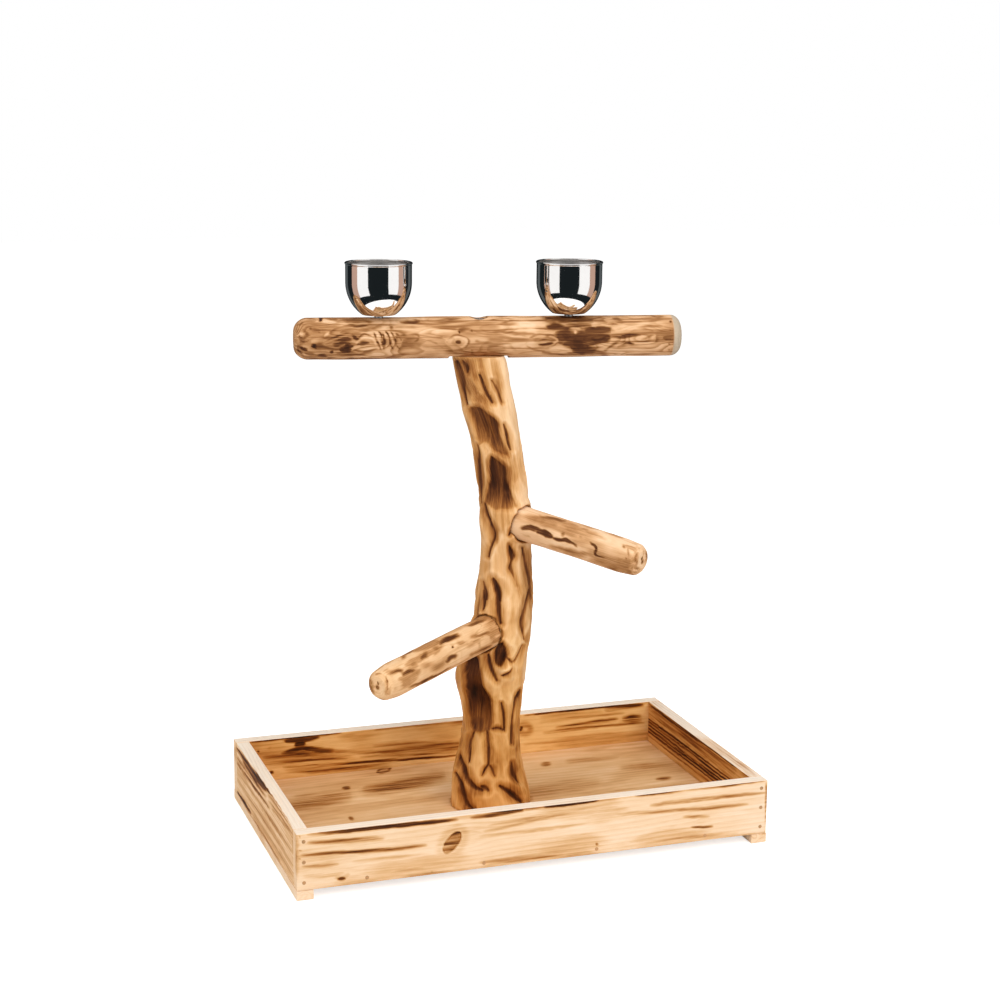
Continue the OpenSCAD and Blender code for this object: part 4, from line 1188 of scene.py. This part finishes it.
def branch_limb(side, branch):
    """A side branch: a rounded rod with dents, char and fine cracks."""
    radius, seed, length = branch["thick"] / 2, branch["seed"], branch["length"]
    points, quads, tris = rod(length, radius, ROOT_ROUND, TIP_ROUND, BRANCH_SIDES, BRANCH_BORE)
    normals = normals_of(points, quads, tris)
    z, rad = points[:, 2], np.hypot(points[:, 0], points[:, 1])
    at = points + seed * 11.0
    lies, root = lying(branch["way"]), branch["origin"] + branch["way"] * branch["root"]
    world, turned = points @ lies + root, normals @ lies
    outer = smooth(rad, radius * 0.5, radius * 0.9) * smooth(z, 3, 16)
    end = smooth(normals[:, 2], 0.5, 0.9) * (z > length / 2)
    seen_side = facing(world, turned, 0.05, 0.2)
    ragged = fbm(scaled(at, 0.25, 0.1), seed + 2, 3)
    drawn = strokes(seen(world), ragged, BRANCH_MARKS[side], at, 0.8, 0.8) * seen_side
    other = 0.6 * smooth(fbm(scaled(at, 0.1, 0.028), seed + 3, 4), 0.16, 0.36) * (1 - seen_side * 0.55)
    lick = 0.35 * smooth(fbm(scaled(at, 0.06, 0.02), seed + 4, 3), 0.05, 0.4)
    cracks = smooth(-np.abs(noise(scaled(at, 0.14, 0.012), seed + 5)), -0.045, -0.01)
    cracks = 0.5 * cracks * (1 - 0.7 * seen_side)
    # Painted shade: a dark ring round the root, where the branch meets the trunk
    root_dark = 0.6 * (1 - smooth(z + 5 * ragged, 0.5, 4.0)) * (rad > radius * 0.7)
    burn = np.maximum.reduce([drawn, other * (1 - end), lick, cracks * (1 - end), root_dark])
    burn = np.maximum(burn, end * 0.55 * (1 - smooth(rad, 1.2, 3.2)))
    burn += 0.18 * end * smooth(fbm(at * 0.2, seed + 6, 2), 0, 0.3)
    bumps = fbm(scaled(at, 0.05, 0.018), seed, 3)
    dents = ridged(scaled(at, 0.09, 0.03), seed + 1, 2)
    sink = np.clip(0.55 + 0.9 * bumps - 0.35 * dents, 0.02, 2.0)
    sink = sink + branch["tip"] * smooth(z, length - 26, length - 2)
    sink = sink + 0.7 * np.clip(drawn, 0, 1) + 0.5 * cracks
    points = points - normals * (sink * outer)[:, None]
    facts = {
        "flow": np.stack([points[:, 2] + seed * 13, points[:, 0], points[:, 1]], 1),
        "ring": (rad + 1.2 * noise(at * 0.1, seed + 8)) / 2.3,
        "burn": np.clip(burn, 0, 1.1),
        # Painted top light: the upper side of the branch is lighter
        "tone": 0.09 * fbm(at * 0.05, seed + 7, 3) + 0.03 - 0.06 * smooth(turned[:, 2], 0.2, 0.9),
        "warm": np.full(len(points), branch["warm"]),
    }
    ob = build(side + "_branch_limb", points @ lies + root, facts, quads, tris)
    dress(ob, side + "_branch", "branch_wood", "branch_" + side)


for side, branch in BRANCHES.items():
    branch_limb(side, branch)

# Top perch
PERCH_ROUNDS = (13.0, 9.0)
PERCH_WAY = np.array([[math.cos(PERCH_TURN), math.sin(PERCH_TURN), 0],
                      [-math.sin(PERCH_TURN), math.cos(PERCH_TURN), 0], [0, 0, 1]])


def on_stand(points):
    """Points of the perch's own frame, on the stand."""
    return points @ PERCH_WAY + PERCH_AT


def perch_rod():
    """The perch's wood: a rod with faint dents and a flat below its middle."""
    points, quads, tris = rod(PERCH_L + PERCH_R, PERCH_RADIUS, *PERCH_ROUNDS, PERCH_SIDES)
    at = points + 900.0
    dents = 0.9 * fbm(scaled(at, 0.03, 0.012), 200, 3) - 0.3 * ridged(scaled(at, 0.07, 0.02), 201, 2)
    sink = np.clip(0.35 + dents, 0.0, 1.5) * smooth(np.hypot(points[:, 0], points[:, 1]), 11, 18)
    points = points - normals_of(points, quads, tris) * sink[:, None]
    # Rod Z becomes perch X, and rod X points down
    local = np.stack([points[:, 2] - PERCH_L, points[:, 1], -points[:, 0]], 1)
    flat_z = -(PERCH_RADIUS - PERCH_FLAT)
    local[(np.abs(local[:, 0]) < FLAT_HALF) & (local[:, 2] < flat_z), 2] = flat_z
    return build("perch_rod", on_stand(local), {}, quads, tris)


def cutter(items):
    """One mesh of upright cylinders in the perch's frame: (x, low, high, radius)."""
    here = np.arange(BORE_SIDES)
    after = (here + 1) % BORE_SIDES
    turn = here * 2 * np.pi / BORE_SIDES
    points, faces = [], []
    for at, (x, low, high, radius) in enumerate(items):
        for z in (low, high):
            ring = [x + radius * np.cos(turn), radius * np.sin(turn), np.full(BORE_SIDES, z)]
            points.append(np.stack(ring, 1))
        base = 2 * BORE_SIDES * at
        top = base + BORE_SIDES
        faces += np.stack([base + here, base + after, top + after, top + here], 1).tolist()
        faces += [(base + here[::-1]).tolist(), (top + here).tolist()]
    return plain("cutter", (on_stand(np.concatenate(points)) * MM).tolist(), faces)


def carve(ob, groups):
    """Cuts each group of cylinders out of an object in turn."""
    for group in groups:
        tool = cutter(group)
        mod = ob.modifiers.new("cut", "BOOLEAN")
        mod.operation, mod.object, mod.solver = "DIFFERENCE", tool, "EXACT"
        graph = bpy.context.evaluated_depsgraph_get()
        mesh = bpy.data.meshes.new_from_object(ob.evaluated_get(graph), depsgraph=graph)
        ob.modifiers.clear()
        spare = ob.data, tool.data
        ob.data = mesh
        bpy.data.objects.remove(tool)
        for old in spare:
            bpy.data.meshes.remove(old)


# The perch's marks, as the photographer's camera sees them
PERCH_MARKS = [
    # Left end
    (0.62, 2.6, 3, [(295.5, 327), (293.5, 337), (297.5, 348), (304, 357)]),
    (0.55, 5, 3.5, [(310, 328), (316, 331), (322, 334)]), (0.7, 2, 2.5, [(309, 327.6), (313, 329)]),
    (0.7, 2, 2.5, [(317, 332), (321, 333.4)]), (0.45, 2, 2.5, [(322, 336.5), (328, 331.5)]),
    (1.1, 3, 1.8, [(317.4, 319.4), (323, 320.2)]), (1.1, 4.4, 1.8, [(310.6, 345), (317.4, 347)]),
    (0.8, 2.6, 2.4, [(300, 347.6), (304, 349), (307, 351)]),
    (0.5, 1.6, 2, [(298, 340), (306, 341.5), (311, 338)]),
    # A fan of streaks, and the dark blots below it
    (0.6, 1.5, 1.6, [(321, 343.5), (336, 337), (352, 332.5)]),
    (0.75, 1.8, 1.6, [(322, 345), (337, 341), (350, 337.5)]),
    (0.92, 4, 2, [(332, 346), (343, 342.5), (352, 339)]),
    (1.02, 6.6, 2, [(339, 349), (347, 347.6), (353, 345)]), (0.9, 2, 1.8, [(330, 352.6), (334, 352)]),
    (0.85, 2.4, 2, [(317, 355.8), (323, 355.4), (328, 356.6)]),
    (0.6, 1.6, 2, [(335, 356), (350, 354.5), (372, 353.5)]),
    (0.7, 2.4, 2, [(353, 335), (356, 338.5), (359, 340)]),
    # The eye
    (0.72, 3.4, 2, [(359, 345.5), (364, 342.6), (369.5, 343)]),
    (0.5, 1.3, 1.4, [(353, 349.8), (362, 351), (371, 350.4), (377, 347.8)]),
    (0.5, 1.2, 1.4, [(353, 345), (358, 338.5), (364, 334.5), (371, 336)]),
    # Wavy lines
    (0.8, 1.3, 1.1, [(373.5, 333), (376, 339), (379, 345), (381, 350)]),
    (0.85, 1.3, 1.1, [(378.5, 331.8), (381.5, 337), (382.6, 343), (384.5, 349)]),
    (0.95, 1.9, 1.2, [(382.5, 334), (384, 340), (384.4, 347)]),
    (0.85, 1.3, 1.1, [(385, 331), (388.6, 337.5), (390, 344), (393, 350)]),
    (0.7, 1.3, 1.2, [(390, 331.6), (394, 338), (396, 344), (400, 350)]),
    (0.5, 1.3, 1.4, [(396, 333), (401, 339), (404, 346)]),
    (0.5, 1.4, 2, [(404, 337), (412, 334.6), (418, 336), (417, 341), (408, 344.5)]),
    (0.62, 2, 1.8, [(389.6, 327.6), (393.6, 327.6)]),
    # Painted shadow of the left cup just below it, then marks below it and along the lower edge
    (0.55, 2.6, 3, [(336, 321), (352, 320), (372, 321)]),
    (0.65, 1.4, 2, [(342, 325.4), (356, 325.8), (369, 325)]),
    (0.5, 1.6, 2.4, [(352, 329.6), (368, 328.6), (382, 327)]),
    (0.62, 2.6, 1.6, [(400, 321.6), (411, 322), (421, 321.4)]),
    (0.4, 1.6, 3, [(300, 322), (310, 321), (316, 322)]),
    (0.6, 1.6, 2, [(304, 358.6), (340, 359.4), (390, 359), (450, 358.4)]),
    # The middle
    (0.6, 3.4, 3, [(457, 331.6), (463, 329), (472, 329.6)]),
    (0.8, 1.8, 1.8, [(458, 332.4), (460.4, 331.6)]), (0.7, 1.6, 1.6, [(470.6, 330.6), (473, 330)]),
    (0.66, 3.6, 1.6, [(455, 343), (458, 342), (461, 341.8)]),
    (0.5, 1.2, 1.4, [(446, 344), (450, 337.6), (458, 335.4), (466, 337.4), (469, 342), (464, 347.6),
        (455, 349.6), (447.6, 347)]),
    (0.5, 2, 3, [(474.6, 341), (482, 342.5), (496, 343)]), (0.45, 3, 4, [(472, 347), (472.6, 356)]),
    (0.4, 2.4, 4, [(478, 352), (490, 353)]), (0.4, 1.4, 2.4, [(424, 340), (436, 343.6), (446, 350)]),
    (0.36, 1.4, 2.4, [(404, 353), (424, 351.6), (440, 353)]),
    (0.4, 1.6, 3, [(430, 326), (441, 327), (452, 325)]),
    (0.45, 1.8, 2.4, [(484, 334), (500, 331.5), (518, 334), (536, 334.4)]),
    (0.4, 1.6, 2.4, [(487, 327), (505, 324), (520, 325)]),
    (0.35, 1.4, 2.4, [(486, 348), (505, 347), (524, 349)]),
    (0.6, 1.6, 1.8, [(513.6, 340.4), (516.4, 340.4)]),
    # The long knot
    (0.62, 2.6, 2, [(537, 340.8), (544, 340), (551, 340.6)]),
    (0.5, 1.2, 1.4, [(526, 343), (531, 337), (541, 334.4), (552, 335.4), (559, 340), (555, 345.4),
        (546, 348)]),
    (0.4, 1.2, 1.6, [(527, 345.6), (536, 350), (546, 350.6)]),
    (0.75, 1.7, 1.6, [(537.4, 345.4), (546, 344.6), (556, 341.6)]),
    # The large dark patch
    (0.72, 5.5, 4, [(546, 327.5), (556, 326.6), (566, 329)]),
    (0.95, 8, 3.6, [(557, 334), (566, 337.5), (572, 342)]),
    (0.98, 9, 3.6, [(562, 343), (578, 343.6), (592, 342)]),
    (0.93, 7.4, 3.6, [(580, 333.6), (596, 331.6), (612, 331)]),
    (0.97, 6.6, 3.2, [(584, 343), (598, 340.6), (611, 337)]),
    (0.85, 4, 3, [(572, 350.6), (584, 351.4), (597, 350)]),
    (0.7, 2, 2, [(541, 351.8), (556, 354), (573, 353.6)]),
    (0.7, 3.4, 3, [(566, 325.5), (580, 324.6), (592, 326)]),
    (0.84, 15, 6, [(554, 335.6), (580, 337.6), (608, 335.6)]),
    # Streaks to the right of it
    (0.85, 2.4, 1.8, [(610, 337.6), (624, 336.4), (632, 334.6), (641, 334)]),
    (0.7, 2.4, 1.8, [(617, 348), (625, 345), (634, 343.4)]),
    (0.5, 1.3, 1.8, [(604, 352), (612, 345), (620, 340.4)]),
    (0.5, 1.4, 2, [(640, 340.6), (652, 335), (668, 330.6)]),
    (0.4, 1.4, 2.4, [(636, 327), (650, 325.6), (664, 326.6)]),
    (0.5, 2, 2.4, [(612, 317.6), (618, 319.4), (624, 323)]),
    # Painted shadow of the right cup below it
    (0.7, 4.5, 4, [(545, 319.4), (566, 318.6), (594, 319.6)]),
    (0.5, 2, 3, [(596, 321), (606, 322.6), (618, 324.6)]),
    # Dashes along the seam of the sanded end
    (0.7, 1.5, 1, [(670, 320.6), (670.2, 323)]), (0.7, 1.5, 1, [(670, 329), (670.2, 331)]),
    (0.7, 1.5, 1, [(669.8, 338), (670, 340)]), (0.6, 1.5, 1, [(669.6, 343), (669.8, 345)]),
    (0.6, 1.5, 1, [(669.4, 349), (669.4, 351)]), (0.95, 1.9, 1.2, [(673.2, 314.8), (674.2, 315)]),
]
PERCH_PALE = [
    (1, 3.4, 2.2, [(302.4, 332), (302.8, 336)]), (0.9, 2, 2, [(314, 319), (326, 321.4), (336, 323)]),
    (0.9, 3, 2.4, [(311, 341.6), (318, 340.4), (324, 339.4)]), (0.8, 1.4, 1.2, [(324, 337.5), (330, 332)]),
    (0.9, 1.5, 1.1, [(354, 347.4), (360, 339.6), (366, 337), (373.4, 339.4), (376.4, 346)]),
    (0.8, 1.4, 1.2, [(356, 348.8), (366, 349.4), (374, 348)]),
    (0.8, 5, 4, [(402, 330), (420, 329), (440, 331)]), (0.7, 5, 4, [(400, 351), (420, 350), (446, 352)]),
    (0.55, 1.4, 1.4, [(449.6, 343.6), (452.4, 339.4), (458, 337.4), (464.4, 339), (466.4, 342.4),
        (462, 346), (455, 347.4)]),
    (0.8, 5, 3, [(512, 327.6), (524, 325), (536, 327)]),
    (0.85, 1.4, 1.2, [(549, 336.6), (556, 338.4), (557.6, 340.8), (553, 343)]),
    (0.95, 3.4, 2.2, [(574, 331.6), (577.4, 331.8)]),
    (0.8, 3.4, 2.2, [(549, 349.4), (560, 347.8), (571, 348.8)]),
    (0.9, 6, 4, [(606, 351), (630, 349), (664, 346)]),
    (0.7, 3, 2.5, [(620, 329.6), (634, 327), (650, 322)]), (0.6, 2.6, 2.4, [(600, 323.6), (612, 325)]),
    (0.6, 1, 1, [(376.6, 334), (379, 341), (381, 347)]), (0.6, 1, 1, [(388, 333), (392, 341), (395, 348)]),
]
SANDED_FROM, SANDED_TO, BORE_SHARP = PERCH_R - 9.6, PERCH_R - 8.8, math.radians(35)


def perch_facts(mesh):
    """Figure, char and tone of the perch, from where its points lie on the stand."""
    points = vectors_of(mesh, "co") / MM
    local = (points - PERCH_AT) @ PERCH_WAY.T
    x, rad = local[:, 0], np.hypot(local[:, 1], local[:, 2])
    at = local + 300.0

    def along(low, high):
        return at * grained(0, low, high)

    seen_side = facing(points, vectors_of(mesh, "normal"), 0.05, 0.2) * (rad > 15)
    ragged = fbm(along(0.12, 0.3), 210, 3)
    threads = fbm(along(0.03, 0.4), 217, 3)
    drawn = strokes(seen(points), ragged, PERCH_MARKS, at, 0.7, 0.8) * seen_side
    drawn = np.where(drawn > 0.93, drawn, drawn * np.clip(0.9 + 0.9 * threads, 0.35, 1.15))
    pale = strokes(seen(points), ragged, PERCH_PALE, at, 0.7, 0.8) * seen_side
    # Swirling figure: level lines of a slow noise, drawn out along the perch
    figure = fbm(along(0.013, 0.05), 215, 2) + 0.3 * noise(along(0.035, 0.11), 216)
    patches = fbm(along(0.022, 0.06), 211, 4)
    other = 0.72 * smooth(patches + 0.2 * threads, 0.06, 0.36) * (1 - 0.8 * seen_side)
    other = other * np.clip(0.9 + threads, 0.3, 1.2)
    lines = 0.42 * smooth(ridged(along(0.02, 0.16), 212, 2), 0.3, 0.7)
    lick = 0.3 * smooth(fbm(along(0.02, 0.06), 213, 3), 0.02, 0.4)
    sanded_and_top_light = smooth(x, SANDED_FROM, SANDED_TO)
    left_end = 1 - smooth(x, -PERCH_L, -PERCH_L + 5)
    burn = np.maximum.reduce([other, lines, lick]) * (1 - 0.9 * pale)
    burn = np.maximum(burn, drawn * (1 - 0.9 * pale * (drawn < 0.9)))
    burn = np.maximum(burn, 0.3 * left_end)
    burn = np.where(rad < 14, 0.2, burn)
    add_facts(mesh, {
        "flow": at,
        "ring": np.where(sanded_and_top_light > 0.5, rad / 2.2 + 0.6 * figure, 5.5 * figure),
        "burn": np.clip(burn, 0, 1.1) * (1 - sanded_and_top_light),
        "tone": 0.08 * fbm(at * 0.03, 214, 3) - 0.1 * pale * (1 - drawn) + 0.04 * smooth(x, 60, 140),
        "sanded_and_top_light": sanded_and_top_light,
    })
    soften(mesh)
    # The bores keep their crisp rims
    mesh.set_sharp_from_angle(angle=BORE_SHARP)


# Bores of the perch: the counterbore and the seats of the cups' stems first, then the holes below them
BOLT_SEAT, STEM_SEAT, SCREW_TIP, CLEAR = 10.5, 19.7, -8.85, 30.0
WASHER_R, STEM_R, BOLT_R, SCREW_R = 9.6, 4.55, 4.05, 2.45
SEATS = [(0.0, BOLT_SEAT, CLEAR, WASHER_R)] + [(x, STEM_SEAT, CLEAR, STEM_R) for x in CUPS.values()]
HOLES = [(0.0, -CLEAR, CLEAR, BOLT_R)] + [(x, SCREW_TIP, CLEAR, SCREW_R) for x in CUPS.values()]
perch = perch_rod()
carve(perch, [SEATS, HOLES])
perch_facts(perch.data)
dress(perch, "perch", "perch_wood", "top_perch")

# Cups
CUP_Z, CUP_BASE, CUP_R, BOWL_R, CUP_WALL, BEAD_R, BEAD_Z = 22.8, 16.0, 32.0, 38.0, 0.8, 1.1, 49.4
BOWL_X = CUP_R - BOWL_R
BOWL_Z = math.sqrt(BOWL_R**2 - (CUP_BASE - BOWL_X) ** 2)


def bowl(inset, low, turns):
    """Points of the bowl's round stretch, from the height low up to its straight wall."""
    radius = BOWL_R - inset
    angles = np.linspace(-math.asin((BOWL_Z - low) / radius), 0, turns)
    return [(BOWL_X + radius * math.cos(angle), BOWL_Z + radius * math.sin(angle)) for angle in angles]


def cup_profile():
    """The cup's outside up to and round its rim, and its inside down to the hole through its bottom."""
    rim = CUP_R - CUP_WALL / 2
    outer = [(SCREW_R, 0.0)] + [(x, 0.0) for x in np.linspace(3.5, 15.2, 8)] + [(15.7, 0.03), (16.1, 0.14)]
    outer += bowl(0.0, 0.4, 44)
    outer += [(CUP_R, z) for z in np.linspace(BOWL_Z + 0.8, BEAD_Z - 1.2, 18)]
    bead = np.linspace(-1.15, math.pi + 1.15, 22)
    outer += [(rim + BEAD_R * math.cos(angle), BEAD_Z + BEAD_R * math.sin(angle)) for angle in bead]
    inner = [(CUP_R - CUP_WALL, z) for z in np.linspace(BEAD_Z - 1.4, BOWL_Z + 0.8, 18)]
    inner += bowl(CUP_WALL, CUP_WALL + 0.25, 40)[::-1] + [(15.4, CUP_WALL + 0.08)]
    inner += [(x, CUP_WALL) for x in np.linspace(14.9, SCREW_R, 9)]
    return outer, inner


def cup(side, x):
    """A polished cup whose inside is brushed."""
    outer, inner = cup_profile()
    points, quads = lathe(outer + inner, CUP_SIDES)
    # The hole through the bottom joins the last ring to the first
    here = np.arange(CUP_SIDES)
    after = (here + 1) % CUP_SIDES
    last = len(points) - CUP_SIDES
    quads = np.concatenate([quads, np.stack([last + here, last + after, after, here], 1)])
    satin = np.repeat((np.arange(len(outer + inner)) > len(outer)).astype(float), CUP_SIDES)
    ob = build(side + "_cup_bowl", on_stand(points + np.array([x, 0, CUP_Z])), {"satin": satin}, quads)
    ob.data.set_sharp_from_angle(angle=SHARP_FROM)
    dress(ob, side + "_cup", "cup_steel", "cup_" + side)


for side, x in CUPS.items():
    cup(side, x)

# Pieces kept from the construction
KEPT = {
    "runner_wood": ["runner_left", "runner_right"],
    "nail_steel": ["corner_nails", "floor_nails", "runner_nails"],
    "bolt_steel": ["trunk_bolt", "trunk_washer", "trunk_screws", "branch_left_screw", "branch_right_screw",
                   "perch_bolt", "perch_washer", "cup_left_spacer", "cup_right_spacer", "cup_left_screw",
                   "cup_right_screw"],
    "soft_washer": ["cup_left_washer", "cup_right_washer"],
}
for slot, names in KEPT.items():
    for name in names:
        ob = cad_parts[name]
        coat(ob, slot)

# Stage, light and camera
scene = bpy.context.scene
WHITE, PALE = (1, 1, 1, 1), (0.82, 0.82, 0.82, 1)
# How bright the floor is by itself, and the world by the light it casts
FLOOR_GLOW, WORLD_GLOW = 0.63, 0.52
FLOOR_SIZE, FLOOR_DEEP = 14, -0.0006


def pale_floor():
    """A wide floor that scatters light, and looks white to the camera."""
    net = Net(bpy.data.materials.new("pale floor"))
    matt = net.node("ShaderNodeBsdfDiffuse", {"Color": PALE}).outputs[0]
    lit = net.glow(WHITE, net.math("MULTIPLY", net.direct(), FLOOR_GLOW))
    mat = net.close(net.node("ShaderNodeAddShader", {0: matt, 1: lit}).outputs[0])
    signs = ((-1, -1), (1, -1), (1, 1), (-1, 1))
    corners = [(x * FLOOR_SIZE / 2, y * FLOOR_SIZE / 2, FLOOR_DEEP) for x, y in signs]
    ob = plain("floor", corners, [(0, 1, 2, 3)], mat)


def studio():
    """A world that is white to the camera and dimmer for the light it casts."""
    net = Net(bpy.data.worlds.new("studio"))
    dim, full = (net.glow(WHITE, strength, "ShaderNodeBackground") for strength in (WORLD_GLOW, 1.0))
    mixed = net.node("ShaderNodeMixShader", {0: net.direct(), 1: dim, 2: full})
    scene.world = net.close(mixed.outputs[0], "ShaderNodeOutputWorld")


def card_material(name, colour, strength=1.0):
    """A card that shines by itself."""
    net = Net(bpy.data.materials.new(name))
    return net.close(net.glow(colour, strength))


def round_stand(turn_deg, distance):
    """Level place at a distance from the stand, turned by some degrees from the camera's way."""
    angle = math.radians(CAMERA_WAY + turn_deg)
    return distance * math.cos(angle), distance * math.sin(angle)


def reflector(name, from_deg, to_deg, mat, line):
    """A curved card round the stand, seen in the polished steel alone. Degrees are from the camera's way,
    and line is its section, as (distance, height)."""
    parts, row = max(2, int(abs(to_deg - from_deg) / 4)), len(line)
    turns = [from_deg + (to_deg - from_deg) * i / parts for i in range(parts + 1)]
    points = [(*round_stand(turn_deg, far), z) for turn_deg in turns for far, z in line]
    corners = [row * i + j for i in range(parts) for j in range(row - 1)]
    ob = plain(name, points, [(c, c + row, c + row + 1, c + 1) for c in corners], mat)
    ob.visible_camera = ob.visible_diffuse = ob.visible_shadow = False
    ob.visible_transmission = ob.visible_volume_scatter = False


def lamp(name, turn_deg, height, distance, size, power):
    """A softbox that shines on the stand and isn't mirrored in it."""
    data = bpy.data.lights.new(name, "AREA")
    data.shape, data.energy = "RECTANGLE", power
    data.size, data.size_y = size
    ob = placed(name, data)
    ob.location = (*round_stand(turn_deg, distance), height)
    aim = Vector(AIM) - Vector(ob.location)
    ob.rotation_euler = aim.to_track_quat("-Z", "Y").to_euler()
    ob.visible_glossy = False


def photographer():
    """The camera of the photo."""
    data = bpy.data.cameras.new("photographer")
    data.sensor_width, data.sensor_fit = SENSOR, "HORIZONTAL"
    data.lens = FOCAL * SENSOR / PICTURE
    data.clip_start, data.clip_end = 0.05, 60
    cam = placed("photographer", data)
    place = Matrix.Identity(4)
    for k in range(3):
        place[k][:] = CAM_X[k], CAM_Y[k], -AHEAD[k], EYE[k] * MM
    cam.matrix_world = place
    return cam


pale_floor()
studio()
BLACK_CARD = card_material("dark card", (0.012, 0.016, 0.018, 1))
WHITE_CARD = card_material("white card", WHITE, 1.15)
BLUSH_CARD = card_material("warm card", srgb(205, 168, 150))
SLATE_CARD = card_material("slate card", srgb(92, 98, 100))
# Sections of the cards: (distance, height). Cards: (name, from and to in degrees, material)
WALL, RING = [(0.9, 0.002), (2.7, 0.002), (2.7, 2.6)], [(0.5, 0.002), (0.9, 0.002)]
CARDS = [("middle", 0, 35, BLACK_CARD), ("white", 35, 75, WHITE_CARD), ("warm", 75, 100, BLUSH_CARD),
         ("side", 100, 128, BLACK_CARD), ("grey", 128, 150, SLATE_CARD), ("rear", 150, 180, BLACK_CARD)]
for word, near, far, mat in CARDS:
    reflector("left " + word + " card", -far, -near, mat, WALL)
    reflector("right " + word + " card", near, far, mat, WALL)
reflector("dark ring", -180, 180, BLACK_CARD, RING)
# Lamps: (name, degrees from the camera's way, height, distance, size, power)
AIM = (0, 0, 0.28)
LAMPS = [("left softbox", -48, 1.4, 2.1, (1.3, 1.5), 16), ("right softbox", 38, 1.5, 2.1, (1.3, 1.5), 25),
         ("top softbox", 0, 2.6, 0.5, (1.4, 1.4), 13)]
for row in LAMPS:
    lamp(*row)
scene.camera = photographer()
scene.view_settings.view_transform = "Standard"
